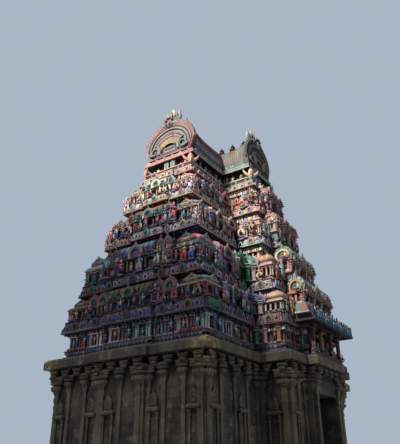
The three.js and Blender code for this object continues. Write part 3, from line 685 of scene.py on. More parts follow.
def eave_crowd(heap, place, width, height, source):
    """Small seated figures on the eave, before the roof."""
    for x in evenly(width, 0.55)[0] - width / 2:
        if source.random() < 0.6:
            size = 0.38 * math.sqrt(height) * source.uniform(0.8, 1.2)
            sit = spot(x + source.uniform(-0.12, 0.12), -0.07, 0.55 * height, size=size)
            set_figure(heap, place @ sit, SEATED, source)


def eave_kudus(heap, place, width, height, paints):
    """Small arches that sit on the curved eave of a pavilion."""
    size = (0.26, 0.36, 0.22 * height ** 0.5)
    for x in evenly(width, 0.42)[0] - width / 2:
        heap.add(SMALL_KUDU, place, paints, x, -0.11, 0.49 * height, size=size)


# %% Model the square pavilions
DOME_RINGS = [
    (0.8, 0.0), (0.84, 0.06), (0.97, 0.12), (1.04, 0.26), (1.0, 0.42), (0.86, 0.6), (0.62, 0.77),
    (0.34, 0.9), (0.2, 0.94), (0.24, 0.97), (0.1, 1.0),
]
DOME_CORNERS = 24
DOME_SQUARENESS = 0.62
DOME_FLUTE = 0.03
BLOCK_PROFILE = """
    base 0 0  0.05 0.05  rim 0.05 0.09  trim -0.04 0.11  roof -0.04 0.42  trim 0.05 0.44
    rim 0.05 0.47  roof 0.14 0.5  trim 0.14 0.54  rim 0 0.56  roof 0 0.72  trim 0.1 0.75
    rim 0.1 0.78  rib -0.02 0.84  roof -0.2 0.9"""


def squarish(half, z):
    """A ring between a circle and a square, gathered into shallow flutes."""
    number = np.arange(DOME_CORNERS)
    angle = (number + 0.5) * 2 * math.pi / DOME_CORNERS
    flutes = 1 + DOME_FLUTE * np.where(number % 3 == 1, 1, -0.6)
    x, y = (
        np.sign(way) * np.abs(way) ** DOME_SQUARENESS * half * flutes
        for way in (np.cos(angle), np.sin(angle))
    )
    return np.stack([x, y, x * 0 + z], -1)


DOME = loft(
    [squarish(0.5 * share, z) for share, z in DOME_RINGS],
    ["trim", "rim", *["roof/roof/rib"] * 6, "gold", "gold"],
    smooth=True,
)


def domed(heap, place, width, height, paints, source, sides, crowd=0.92, kudu=1.0, squat=1.0,
          busy=True):
    """A square pavilion. sides are the turns of the faces that show, kudu sizes the arch on
    each side of the dome, squat lowers the body and widens the dome over it, and a busy eave
    carries small arches and figures."""
    body = height * squat
    heap.add(stack(width, width, body, BODY_PROFILE), place, paints)
    middle = place @ spot(y=width / 2)
    for side in sides:
        face = middle @ spot(turn=side) @ spot(y=-width / 2)
        fill_bays(heap, face, width, body, paints, source, width / 3, crowd)
        if busy:
            eave_kudus(heap, face, width, body, paints)
            eave_crowd(heap, face, width, body, source)
        size = (width * 0.42 * kudu, 0.5, body * 0.3 * kudu)
        heap.add(RING_KUDU, face, paints, 0, 0.06, BODY_TOP * body, size=size)
    girth = width * (0.98 if squat == 1.0 else 1.04)
    rise = min(height - body * BODY_TOP, girth * 0.66)
    heap.add(DOME, middle, paints, z=BODY_TOP * body, size=(girth, girth, rise))
    heap.add(POT, middle, paints, z=BODY_TOP * body + rise * 0.97, size=0.2)


def storeyed(heap, place, width, height, paints, source, sides, crowd):
    """A square pavilion with closed walls and a smaller storey on its eave, not a dome."""
    heap.add(stack(width, width, height, BLOCK_PROFILE), place, paints)
    middle = place @ spot(y=width / 2)
    heap.add(block(width - 0.4, width - 0.4, 0.06 * height, "rib", 0.5), middle, paints,
             z=0.9 * height)
    for side in sides:
        face = middle @ spot(turn=side) @ spot(y=-width / 2)
        fill_bays(heap, face, width, height, paints, source, width / 3, crowd)
        window = (width * 0.4, 0.4, height * 0.26)
        heap.add(SMALL_KUDU, face, paints, 0, 0.02, 0.13 * height, size=window)
        heap.add(SMALL_KUDU, face, paints, 0, 0, 0.56 * height, size=(0.34, 0.4, height * 0.2))
    heap.add(POT, middle, paints, z=0.95 * height, size=0.2)


print("dome:", len(DOME.faces), "faces")

# %% Model the barrel roof of an oblong pavilion
BARREL_STEPS = 6


def barrel(length, depth, height, bands):
    """A barrel roof along X with its middle at y = 0, ribbed by bands of two roles."""
    xs = np.linspace(-length / 2, length / 2, 2 * bands + 2)
    rings = []
    for i, x in enumerate(xs):
        ring = horseshoe(depth / 2, height, BARREL_STEPS, 1.0 if 0 < i < len(xs) - 1 else 1.03)
        rings.append(np.column_stack([ring[:, 0] * 0 + x, ring[:, 0], ring[:, 2]]))
    return loft(rings, ["roof" if i % 2 else "rib" for i in range(len(xs) - 1)], smooth=True)


def hall(heap, place, width, depth, height, paints, source):
    """An oblong pavilion with kudus on its long side."""
    heap.add(stack(width, depth, height, BODY_PROFILE), place, paints)
    fill_bays(heap, place, width, height, paints, source)
    eave_kudus(heap, place, width, height, paints)
    eave_crowd(heap, place, width, height, source)
    rise = height * (1 - BODY_TOP)
    roof_depth = min(depth * 1.25, rise * 1.7)
    ridge = place @ spot(y=roof_depth / 2 - 0.1, z=BODY_TOP * height)
    roof = barrel(width * 0.97 - 0.1, roof_depth * 0.9, rise, max(3, round(width / 0.5)))
    heap.add(roof, ridge, paints)
    for side in (-1, 1):
        end = ridge @ spot(x=side * width * 0.485, turn=side * 90)
        heap.add(RING_KUDU, end, paints, z=-0.02, size=(roof_depth * 1.1, 0.4, rise * 1.1))
    size = (min(rise * 1.55, width), 0.8, rise * 1.3)
    heap.add(PLEATED_KUDU, place, paints, 0, -0.2, 0.47 * height, size=size)
    for side in (-1, 1) if width > 1.8 else ():
        heap.add(RING_KUDU, place, paints, side * width * 0.33, -0.16, 0.56 * height,
                 size=(0.62, 0.5, rise * 0.72))
    for x in evenly(width * 0.9, 0.55)[0] - width * 0.45:
        heap.add(POT, ridge, paints, x, 0, rise * 0.98, size=0.15)


def paired(heap, place, width, depth, height, paints, source):
    """A pavilion with a big pleated kudu at each end of its short barrel roof."""
    heap.add(stack(width, depth, height, BODY_PROFILE), place, paints)
    fill_bays(heap, place, width, height, paints, source, width / 3)
    rise = height * (1 - BODY_EAVE)
    for side in (-1, 1):
        heap.add(PLEATED_KUDU, place, paints, side * width * 0.33, -0.16 - 0.04 * side,
                 0.42 * height, size=(width * 0.78, 0.9, rise * 1.4))
        inside = spot(side * width * 0.3, -0.2, 0.5 * height, size=rise * 0.62)
        set_figure(heap, place @ inside, SEATED, source)
    roof = barrel(width * 0.9, depth * 0.9, rise * 0.72, 4)
    heap.add(roof, place, paints, 0, depth * 0.4, BODY_TOP * height)


def arched(heap, place, width, depth, height, paints, source):
    """A narrow pavilion whose roof is one big kudu, the end of a barrel that runs inwards."""
    heap.add(stack(width, depth, height, BODY_PROFILE), place, paints)
    fill_bays(heap, place, width, height, paints, source, width / 2)
    rise = height * (1 - BODY_EAVE)
    tall = max(rise * 1.14, width * 0.82)
    kudu_low = height - rise * 1.14 + 0.07 * height - (tall - rise * 1.14)
    heap.add(RING_KUDU, place, paints, 0, -0.2, kudu_low, size=(width * 1.1, 0.9, tall))
    roof = barrel(depth * 0.9, width * 0.72, rise * 0.78, 3)
    heap.add(roof, place, paints, 0, depth * 0.5, (BODY_EAVE + 0.06) * height, 90)


print("a hall of 3.9 m has", len(stack(3.9, 0.7, 1.7, BODY_PROFILE).faces), "faces in its body")

# %% [markdown]
# ## Cornices
#
# Over each storey runs a kapota, a drooping eave cast in masonry. The CAD piece has its
# curve. What the eye reads from below, though, is a pack of painted lines: a bead on
# the lip, the coloured curve with its kudus, a row of teeth, and the low blocking course
# that the next row stands on. The lines are one band lofted round the whole plan, so they
# turn every corner with a clean mitre, and the kudus and teeth are rows.

# %% Dress the cornices
WALL_OFFSET = -0.45
ROW_SETBACK = 0.26
KAPOTA_SHARE = 0.69
KUDU_TONES = [0.62, 0.75, 1, 1]
CURVE_ROLES = dict(end="roof", end_step="roof", end_side="rib", wing="shaft", notch="cloth",
                   bay="crown", door_step="crown", door="roof")
CORNICE_PAINTS = schemes(
    "roof rib shaft cloth crown trim rim base wall lobe dark",
    "slate blue bottle slate blush stone grey navy slate teal navy",
    "slate plum plum lilac slate stone bottle navy purple maroon soot",
    "plum slate slate lichen mauve stone maroon soot teal purple soot",
    "ochre mauve plum blush blush cream peach soot salmon peach soot",
    "blush rose plum lichen mint cream rose soot blush lichen soot")
KUDU_PAINTS = [schemes("rim bead dark", *rows) for rows in (
    ("slate stone soot", "lilac stone soot", "maroon blush soot"),
    ("lilac white soot", "sea pink navy", "slate white soot"),
    ("lichen white soot", "pink cream soot", "sky red soot"),
    ("blush cream maroon", "lichen white soot", "white sky soot"),
    ("lichen pink soot", "blush cream soot", "stone white soot"),
)]
TEETH = [schemes("bead", *names.split()) for names in (
    "slate navy", "lilac plum", "lichen red", "blush slate", "pink stone")]
BAY_STRIPES = schemes("bead", "white", "red", "blush", "white", "lichen")


def cornice_band(quarter, low, height, top):
    """The painted lines of a cornice and its blocking course. The curve changes its paint
    from bay to bay."""
    curve = "/".join(CURVE_ROLES[run.bay] for run in runs(quarter, 0.0))
    lines = [
        (-0.33, low - 0.03, "base"), (0.02, low - 0.03, "base"), (0.06, low, "rim"),
        (0.06, low + 0.05, "rim"), (0.02, low + 0.06, "dark"), (0.035, low + 0.22 * height, curve),
        (-0.01, low + 0.4 * height, curve), (-0.05, low + 0.56 * height, curve),
        (-0.06, low + 0.6 * height, "trim"), (-0.13, low + 0.86 * height, curve),
        (-0.12, low + height, "lobe"), (-0.12, low + height + 0.04, "lobe"),
        (-0.17, low + height + 0.05, "dark"), (-0.17, top - 0.05, "wall"),
        (-0.13, top - 0.04, "rim"), (-0.13, top + 0.01, "trim"), (-0.33, top + 0.01, "rim"),
    ]
    roles = [role for _, _, role in lines[1:]] + ["base"]
    return plan_band(quarter, [line[:2] for line in lines], roles)


LEDGE_LOOKS = [looks("rim lobe trim base", *rows) for rows in (
    ("stone slate sky navy", "salmon slate lilac navy", "grey blue stone maroon"),
    ("mauve plum stone soot", "red maroon lilac navy", "slate mauve sea navy"),
    ("pink slate mauve plum", "rose teal stone soot", "lilac green sea soot"),
    ("peach ochre cream maroon", "salmon blush cream plum", "cream lichen peach soot"),
)]
BAY_LEDGE_LOOKS = [looks("rim lobe trim base", *rows) for rows in (
    ("peach salmon stone plum", "salmon blush cream maroon"),
    ("lilac mauve white soot", "stone slate white plum"),
    ("mint lichen white soot", "lichen sea white soot"),
    ("peach blush cream rose", "blush peach white salmon"),
)]
LEDGE_PROFILE = """
    rim 0 0  0.04 0.02  0.05 0.1  dark 0.01 0.11  lobe 0.03 0.28  -0.02 0.44  -0.06 0.6
    rim -0.08 0.68  dark -0.1 0.7  trim -0.1 0.9  base -0.04 0.92  -0.04 1"""


def ledge(level, place, width, kudu_paints, source, rows=LEDGE_LOOKS):
    """The stretch of cornice that comes forward under a pavilion, with its own kudus."""
    heap = cornice_heaps[level]
    paints = scheme(**source.choice(rows[level]))
    tall = TOPS[level] - LIPS[level]
    front = place @ spot(y=-ROW_SETBACK - 0.05, z=-tall)
    heap.add(stack(width + 0.12, 0.5, tall + 0.03, LEDGE_PROFILE), front, paints)
    heap.add(RING_KUDU, front, kudu_paints * KUDU_TONES[level], 0, -0.03, 0.06,
             size=(min(0.62, width * 0.5), 0.5, tall * 0.95))
    for x in (-0.33, 0.33) if width > 1.5 else ():
        heap.add(SMALL_KUDU, front, source.choice(KUDU_PAINTS[level]), x * width, -0.03, 0.05,
                 size=(0.4, 0.4, tall * 0.72))


cornice_heaps = []
for level, quarter in enumerate(PLANS):
    heap = Heap(f"cornice_{level + 1}_mouldings")
    low, top = LIPS[level], TOPS[level]
    height = (top - low) * KAPOTA_SHARE
    heap.add(cornice_band(quarter, low, height, top), spot(), CORNICE_PAINTS[level])
    kudu = (0.42, 0.36, height * 1.05)
    row_on_runs(heap, runs(quarter, 0.0), SMALL_KUDU, 0.66, low + 0.05, kudu, KUDU_PAINTS[level],
                0.03)
    stripes = [run for run in runs(quarter, -0.2) if run.bay in ("notch", "bay", "door_step")]
    row_on_runs(heap, stripes, TOOTH, 0.2, low - 0.42, (0.15, 0.2, 0.24), BAY_STRIPES)
    row_on_runs(heap, stripes, TOOTH, 0.24, low - 0.15, (0.18, 0.16, 0.1), BAY_STRIPES[::-1], 0.06)
    row_on_runs(heap, runs(quarter, -0.08), TOOTH, 0.3, low - 0.12, (0.13, 0.2, 0.1), TEETH[level])
    cornice_heaps.append(heap)
kudus = sum(len(evenly(run.length, 0.66)[0]) for run in runs(PLANS[0], 0))
print("cornice kudus round storey 1:", kudus)

# %% [markdown]
# ## The first storey
#
# This is the only storey whose wall is seen whole. It stands on a moulded footing with teeth
# and a striped railing band, and then come pilasters, framed niches and figures by turns.
# The pattern is worked out from the length of each run: pilasters stand on equal steps, and
# what is between them alternates, so every bay gets a full set whatever its width.

# %% Set out the first storey's wall
niche_random = random.Random(11)
FOOT = STONE_TOP
WALL_LOW = FOOT + 0.68
STRIPES = [schemes("bead", *pair.split())
           for pair in ("rose blush", "slate stone", "red cream", "navy sky")]
PILASTER_PAINTS = [np.minimum(paints * 1.6, 1) for paints in schemes(
    "shaft trim base", "sea slate teal", "lichen mauve slate", "maroon mauve plum",
    "mauve stone slate", "slate stone navy", "blush white maroon")]
NICHE_GROUNDS = ["maroon", "rose", "brown", "navy", "blue", "teal"]
NICHE_POSES = ["standing", "four arms", "dancing", "seated four arms"]


def niche(heap, place, width, height, paints, source):
    """A framed recess with two columns, a small arch over it and a figure in front."""
    ground = scheme(dark=source.choice(NICHE_GROUNDS))
    heap.add(block(width * 0.86, 0.06, height * 0.82, "dark"), place, ground, 0, -0.04, 0.02)
    for side in (-1, 1):
        heap.add(COLUMN, place, paints, side * width * 0.4, -0.12, size=(0.16, 0.16, height * 0.8))
    heap.add(block(width, 0.24, 0.07, "trim"), place, paints, 0, -0.22, -0.03)
    heap.add(block(width * 1.04, 0.24, 0.06, "trim"), place, paints, 0, -0.24, height * 0.8)
    kudu = (width * 0.7, 0.4, height * 0.26)
    heap.add(SMALL_KUDU, place, paints, 0, -0.14, height * 0.84, size=kudu)
    set_figure(heap, place @ spot(0, -0.13, 0.04, size=height * 0.66), NICHE_POSES, source)


def plain_wall(heap, run, low, high, source, pitch=0.98):
    """Pilasters on equal steps, with niches and figures by turns between them."""
    middles, step = evenly(run.length, pitch)
    height = high - low
    for i in range(len(middles) + 1):
        where = min(max(i * step, 0.12), run.length - 0.12)
        heap.add(PILASTER, along(run, where, 0.06, low), source.choice(PILASTER_PAINTS),
                 size=(0.3, 0.22, height))
    if step < 0.55:
        return
    for i, where in enumerate(middles):
        place = along(run, where, 0.0, low + 0.03)
        if i % 2 == 0:
            paints = source.choice(PILASTER_PAINTS)
            niche(heap, place, min(step * 0.72, 0.85), height * 0.9, paints, source)
        else:
            slim = scheme(shaft="mauve", trim="white", base="slate")
            for x in (-step * 0.27, step * 0.27):
                heap.add(COLUMN, place, slim, x, -0.02, size=(0.13, 0.13, height * 0.95))
            set_figure(heap, place @ spot(0, -0.1, size=height * 0.74), STANDING, source)


def banded(quarter, offset, low, text):
    """A moulding round a plan, from text of its offsets and heights over the given ones."""
    rows = listed(text)
    lines = [(offset + out, low + z) for out, z, _ in rows]
    return plan_band(quarter, lines, [role for _, _, role in rows])


storey_heap = Heap("storey_1_ornament")
foot_plan = runs(PLANS[0], WALL_OFFSET)
footing = banded(PLANS[0], WALL_OFFSET, FOOT, """
    base -0.05 0.01  trim 0.29 0.01  base 0.29 0.07  roof 0.27 0.08  trim 0.27 0.2  0.3 0.21
    rim 0.3 0.25  wall 0.16 0.3  0.13 0.31  rim 0.13 0.41  trim 0.24 0.45  0.25 0.5
    lobe 0.23 0.51  trim 0.23 0.61  0.29 0.62  0.29 0.67  0.05 0.69  base -0.05 0.69""")
storey_heap.add(footing, spot(), scheme(
    base="slate", trim="grey", rim="teal", wall="navy", lobe="rose", roof="sky"))
footing_teeth = schemes("bead", "sky", "navy", "grey")
row_on_runs(storey_heap, foot_plan, TOOTH, 0.26, FOOT + 0.085, (0.15, 0.1, 0.11),
            footing_teeth, 0.31)
for number, run in enumerate(foot_plan):
    row_on_runs(storey_heap, [run], TOOTH, 0.12, FOOT + 0.51, (0.055, 0.08, 0.1),
                STRIPES[number % 4], 0.26)
footing_petals = schemes("lobe", "slate", "navy", "slate", "teal", "slate", "grey", "navy")
row_on_runs(storey_heap, foot_plan, PETAL, 0.3, FOOT + 0.26, (0.3, 0.12, 0.22),
            footing_petals, 0.27)

# %% Fill the wall, with thick columns in the notches
NOTCH_COLUMN = scheme(shaft="green", trim="mint", base="teal")
BAY_COLUMNS = [(0.22, scheme(shaft="ochre", trim="peach", base="salmon")),
               (-0.75, scheme(shaft="blush", trim="white", base="salmon"))]
for run in foot_plan:
    if run.bay != "door":
        plain_wall(storey_heap, run, WALL_LOW, LIPS[0] - 0.03, niche_random)
    if run.bay in ("end_side", "bay"):
        corner = max((0, run.length), key=lambda where: np.abs(along(run, where)[:2, 3]).sum())
        for i, name in enumerate(("red", "rose", "red", "maroon", "rose", "red", "rose")):
            petal = along(run, abs(corner - 0.15 - 0.25 * i), 0.3, WALL_LOW - 0.12)
            storey_heap.add(PETAL, petal, scheme(lobe=name), size=(0.24, 0.16, 0.24))
    if run.bay == "notch":
        tall = LIPS[0] - WALL_LOW - 0.04
        ends = [along(run, where, 0.2, WALL_LOW) for where in (0.4, run.length - 0.4)]
        inner, outer = sorted(ends, key=lambda end: abs(end[1, 3]))
        storey_heap.add(COLUMN, inner, NOTCH_COLUMN, size=(0.5, 0.5, tall))
        way = 1 if outer is ends[1] else -1
        for slide, paints in BAY_COLUMNS:
            storey_heap.add(COLUMN, outer, paints, way * slide, size=(0.36, 0.36, tall))
length, width = PLANS[0][2]
roll = limb([(-0.62, 0, 0), (-0.3, -0.06, 0.04), (0.3, -0.06, 0.04), (0.62, 0, 0)],
            [0.14, 0.25, 0.25, 0.14], "lobe", 8)
blue = scheme(skin="sky", cloth="blue", crown="white", gold="sky", base="maroon", rim="white")
for sx in (-1, 1):
    for sy, turn in ((-1, 0), (1, 180)):
        storey_heap.add(roll, spot(), scheme(lobe="green"), sx * (length - 0.72),
                        sy * (width + 0.02), LIPS[0] + 0.24, turn)
        storey_heap.add(FIGURES["dancing"], spot(), blue, sx * (length - 1.1),
                        sy * (width + WALL_OFFSET + 0.24), WALL_LOW, turn, 1.3)
print("runs of wall on storey 1:", len(foot_plan))

# %% [markdown]
# ## The rows of pavilions
#
# The rows repeat the CAD pavilions one for one: the same widths, places and depths, worked
# out again from the plan by the same shares. On the real tower every pavilion is painted
# differently. The ones that face the photograph's side get the colours seen there, and the
# rest draw theirs from the same paints.

# %% Set out the rows of pavilions
EAVE_REACH = 0.11
END_BAY_SHARE = 0.36
END_STEP = 0.22
ROW_HEIGHTS = [1.72, 2.35, 1.85, 1.55]
LOOK_ROLES = "roof rib rim lobe bead heart trim base dark shaft"
row_random = random.Random(5)
DOME_LOOKS = looks(
    LOOK_ROLES,
    "lichen mint peach blush cream soot stone salmon maroon rose",
    "rose pink sea teal cream soot stone orange plum maroon",
    "blush stone lichen peach cream soot stone rose navy sea",
    "blush peach lichen salmon cream maroon stone pink maroon lichen")
BAY_DOME_LOOKS = looks(
    LOOK_ROLES,
    "blush peach cream blush white soot white red plum white",
    "peach ochre peach blush white soot stone peach maroon peach",
    "pink blush white pink white soot blush peach rose peach",
    "blush pink white pink white soot pink salmon salmon blush")
HALL_LOOKS = looks(
    LOOK_ROLES,
    "ochre brown green mauve cream green stone rose plum sea",
    "sky slate purple mauve stone purple grey teal navy ochre",
    "rose red sea green cream soot sky purple maroon red",
    "salmon peach lichen mint white soot blush salmon maroon salmon")
ARCH_LOOKS = looks(
    LOOK_ROLES,
    "ochre mint sea mauve pink bottle peach maroon bottle white",
    "slate teal rose brown mauve soot slate teal plum rose",
    "purple cream lilac mauve cream soot sky teal soot green",
    "peach cream sky mint peach soot blush salmon soot salmon")
WING_ARCH_LOOKS = looks(
    LOOK_ROLES,
    "purple purple lilac mauve slate purple mauve purple soot lilac",
    "bottle green green green mint bottle green bottle soot green",
    "mauve mauve lilac blush white soot pink rose soot white",
    "rose salmon pink rose cream soot blush rose soot pink")
NOTCH_POSTS = schemes(
    "shaft trim base lobe bead rim heart dark",
    "slate mauve navy slate lilac blue mauve navy",
    "green mint bottle green mint sea lichen maroon")
BAY_POST = scheme(shaft="blush", trim="white", base="mauve", lobe="blush", bead="white",
                  rim="lilac", heart="mauve", dark="maroon")
OCHRE_DANCER = scheme(skin="ochre", cloth="gold", crown="yellow", gold="ochre", base="rose")
CORNER_GROUP = list(zip(("dancing", "four arms", "guardian"), schemes(
    "skin cloth crown gold base rim", "white lilac blush white stone white",
    "blush white blush white stone white", "white pink blush white stone white")))
FRESH_PAINTS = dict(
    roof="sea pink blush sky green lilac ochre peach rose",
    rim="pink lichen lilac cream sky orange",
    lobe="rose sea purple peach green", base="teal red lilac blue green rose",
    shaft="stone mint sky maroon rose slate", heart="soot teal navy green",
)


def varied(look, source, chance=0.3):
    """A look with some of its paints drawn again."""
    choices = dict(look)
    for role, names in FRESH_PAINTS.items():
        if source.random() < chance:
            choices[role] = source.choice(names.split())
    return scheme(**choices)


def between(heap, place, height, source):
    """A large figure on a pedestal, in the gap between two pavilions."""
    tall = height * source.uniform(0.56, 0.7)
    stand = block(0.46, 0.26, 0.1 * height, "base", 0.86)
    heap.add(stand, place, varied({}, source, 1.0), y=-0.24)
    size = (tall * 1.4 * source.choice([-1, 1]), tall * 1.2, tall)
    set_figure(heap, place @ spot(0, -0.14, 0.1 * height, size=size), STANDING, source)


def ringed_post(heap, place, height, paints):
    """A thick column that carries a ringed kudu, at the corners of a notch."""
    heap.add(COLUMN, place, paints, 0, -0.2, size=(0.62, 0.62, height * 0.62))
    heap.add(RING_KUDU, place, paints, 0, -0.24, height * 0.5, size=(1.1, 0.8, height * 0.5))


def set_row(level, source):
    """One row of pavilions, in a left and a right heap, as the two CAD nodes of the row."""
    (length, width), (bay, _), (_, far), (door, _) = PLANS[level][2:6]
    wall_x, wall_y = PLANS[level + 1][2]
    z, height = TOPS[level], ROW_HEIGHTS[level]
    edge_x, edge_y = length - ROW_SETBACK, width - ROW_SETBACK
    edge_bay, edge_front = bay - ROW_SETBACK, far - ROW_SETBACK
    depth_x = edge_x - (wall_x + WALL_OFFSET)
    depth_y = edge_y - (wall_y + WALL_OFFSET)
    corner = min(width * 0.42, 2.1)
    bay_corner = min(bay * 0.42, edge_bay - (door - 0.15) - 0.04)
    slim = bay_corner * 0.72
    beside = (bay_corner + slim) / 2
    end_hall = 2 * (width * END_BAY_SHARE - ROW_SETBACK + 0.05)
    end_arch = (edge_y - corner - end_hall / 2) * 0.82
    end_arch_y = (edge_y - corner + end_hall / 2) / 2
    wing = edge_x - corner - edge_bay - EAVE_REACH
    wing_start = edge_bay + EAVE_REACH
    hall_width, arch_width = wing * 0.52, wing * 0.32
    hall_x = wing_start + arch_width + wing * 0.1 + hall_width / 2
    arch_x = wing_start + wing * 0.03 + arch_width / 2
    heaps = {sx: Heap(f"pavilions_{level + 1}_{side}_stucco")
             for sx, side in ((-1, "left"), (1, "right"))}
    for sx, heap in heaps.items():
        paints = varied(HALL_LOOKS[level], source, 0.0 if sx < 0 else 0.45)
        middle = spot(sx * (edge_x + END_STEP), 0, z, sx * 90)
        hall(heap, middle, end_hall, depth_x + END_STEP, height, paints, source)
        ledge(level, middle, end_hall, paints, source)
        for sy, turn in ((-1, 0), (1, 180)):
            outer = -sx * sy * 90
            fresh = 0.0 if sy < 0 else 0.5
            arch_paints, dome_paints, bay_paints, hall_paints, wing_paints = (
                varied(rows[number % 4], source, chance) for rows, number, chance in (
                    (ARCH_LOOKS, level, fresh), (DOME_LOOKS, level, fresh),
                    (BAY_DOME_LOOKS, level, fresh), (HALL_LOOKS, level + 1, 0.3),
                    (WING_ARCH_LOOKS, level, fresh)))

            def on_end(y):
                return spot(sx * edge_x, sy * y, z, sx * 90)

            def on_wing(x):
                return spot(sx * x, sy * edge_y, z, turn)

            def on_bay(x):
                return spot(sx * x, sy * edge_front, z, turn)

            def on_bay_side(y):
                return spot(sx * edge_bay, sy * y, z, sx * 90)

            narrow = paired if level < 2 else arched
            narrow(heap, on_end(end_arch_y), end_arch, depth_x, height * 0.9, arch_paints, source)
            ledge(level, on_end(end_arch_y), end_arch, arch_paints, source)
            at_corner = on_wing(edge_x - corner / 2)
            domed(heap, at_corner, corner, height, dome_paints, source, (0, outer), busy=level > 1)
            ledge(level, at_corner, corner, dome_paints, source)
            ledge(level, on_end(edge_y - corner / 2), corner, dome_paints, source)
            hall(heap, on_wing(hall_x), hall_width, depth_y, height * 0.95, hall_paints, source)
            ledge(level, on_wing(hall_x), hall_width, hall_paints, source)
            arched(heap, on_wing(arch_x), arch_width, depth_y, height * 0.88, wing_paints, source)
            ledge(level, on_wing(arch_x), arch_width, wing_paints, source)
            stand = on_bay(edge_bay - slim / 2)
            pavilion = heap, stand, slim, height, bay_paints, source, (0, outer), 0.4
            if level < 2:
                domed(*pavilion, 0.5, 0.9, False)
            else:
                storeyed(*pavilion)
            post = on_bay_side(edge_front - beside) @ spot(size=(0.72, 0.72, 1))
            ringed_post(heap, post, height * 0.86, BAY_POST)
            between(heap, on_bay(edge_bay - beside), height, source)
            bay_middle = edge_front - bay_corner / 2
            for place in (on_bay(edge_bay - bay_corner / 2), on_bay_side(bay_middle)):
                ledge(level, place, bay_corner, bay_paints, source, BAY_LEDGE_LOOKS)
            gaps = [
                on_end((end_hall / 2 + end_arch_y - end_arch / 2) / 2),
                on_end((end_arch_y + end_arch / 2 + edge_y - corner) / 2),
                on_wing((hall_x + hall_width / 2 + edge_x - corner) / 2),
                on_wing((hall_x - hall_width / 2 + arch_x + arch_width / 2) / 2),
                on_bay_side(edge_front - bay_corner - 0.25),
            ]
            if level < 2:
                ringed_post(heap, gaps.pop(), height * 0.92, NOTCH_POSTS[level])
            for gap in gaps:
                between(heap, gap, height, source)
            if level < 2:
                continue
            heap.add(FIGURES["dancing"], on_bay_side(bay_middle), OCHRE_DANCER, 0.1, -0.3, 0.3,
                     size=1.15)
            for number, (name, paints) in enumerate(CORNER_GROUP):
                stand = spot(sx * (edge_x + 0.02), sy * (edge_y + 0.02), LIPS[level] + 0.12,
                             turn + outer / 2 + (number - 1) * 50)
                heap.add(FIGURES[name], stand, paints, 0, -0.22,
                         size=(1.3, 1.1, 1.0 + 0.12 * number))
    return heaps


row_heaps = [set_row(level, row_random) for level in range(4)]
print("rows set out:", len(row_heaps))

# %% Fill the walls that show above and between the pavilions
CROWD_PITCH = 0.92
SHELF_SHARE = 0.6
BAY_WALL_POSTS = schemes(
    "shaft trim base", "pink peach rose", "blush peach salmon", "salmon peach pink")
wall_random = random.Random(17)
wall_heaps = []
for level in range(1, 5):
    heap = Heap(f"storey_{level + 1}_ornament")
    low, high = TOPS[level - 1], LIPS[level]
    shelf = low + ROW_HEIGHTS[level - 1] * SHELF_SHARE
    course = banded(PLANS[level], WALL_OFFSET, shelf,
                    "base -0.05 -0.12  lobe 0.06 -0.1  rim 0.14 -0.03  0.14 0  base -0.05 0")
    heap.add(course, spot(), CORNICE_PAINTS[level - 1])
    for run in runs(PLANS[level], WALL_OFFSET):
        if run.bay == "door":
            continue
        on_bay = level > 1 and run.bay in ("notch", "bay", "door_step")
        middles, step = evenly(run.length, CROWD_PITCH)
        for i in range(len(middles) + 1):
            where = min(max(i * step, 0.12), run.length - 0.12)
            paints = wall_random.choice(BAY_WALL_POSTS if on_bay else PILASTER_PAINTS)
            heap.add(SLIM_POST, along(run, where, 0.0, low), paints,
                     size=(0.28, 0.22, high - low - 0.04))
        for where in middles:
            tall = min(high - shelf - 0.06, 1.05) * wall_random.uniform(0.8, 0.98)
            side = wall_random.choice([-1, 1])
            stand = along(run, where, 0.08, shelf) @ spot(size=(tall * side, tall, tall))
            set_figure(heap, stand, STANDING, wall_random)
    wall_heaps.append(heap)
print("walls dressed:", len(wall_heaps) + 1)

# %% [markdown]
# ## Portals and the porch
#
# The middle of each long side has a doorway on every storey, for lamps and for airing. In
# front of each upper one stands a pavilion on four piers, with a barrel roof that shows a
# round arch to the left and to the right. The first storey has a deeper porch with a canopy
# like a cloth hung over a rail. Sizes come from the boxes of the CAD pieces.

# %% Build the portals
DOOR_SILL = 0.12
DOOR_HALF_WIDTHS = [0.8, 0.52, 0.48, 0.43, 0.38]
DOOR_HEIGHTS = [1.5, 1.45, 1.55, 1.2, 1.0]
PIER_WIDTH = 0.28
DOOR_BACK = [plan[6][1] + WALL_OFFSET for plan in PLANS]
EAVE_PROFILE = """
    trim 0 0  0 0.15  base 0.06 0.25  rim 0.12 0.3  0.12 0.42  0.08 0.7  trim 0 0.9  -0.05 1"""
PORTAL_PAINTS = schemes(
    LOOK_ROLES,
    "slate lichen peach lichen peach soot blush orange soot cream",
    "teal stone cream green white soot pink plum soot blush",
    "plum mauve peach rose blush soot blush teal soot blush",
    "maroon rose lichen rose cream soot stone slate soot rose")
EAVE_PAINTS = schemes("trim base rim", "slate soot bottle", "stone soot plum", "salmon soot teal",
                      "blush soot maroon")
PORTAL_END_PAINTS = schemes(
    "rim heart trim base dark shaft lobe skin cloth",
    "orange plum white salmon soot yellow rose white sky",
    "red plum white plum plum white rose cream ochre",
    "peach rose blush teal plum cream pink mint white",
    "rose sky cream salmon soot blush lichen pink cream")


def door_frame(heap, place, half, height, paints):
    """Jambs and a lintel round a doorway whose sill is at z = 0."""
    for side in (-1, 1):
        heap.add(block(0.12, 0.1, height, "trim"), place, paints, side * (half + 0.06), -0.06)
    heap.add(block(2 * half + 0.3, 0.14, 0.12, "rim"), place, paints, 0, -0.1, height)


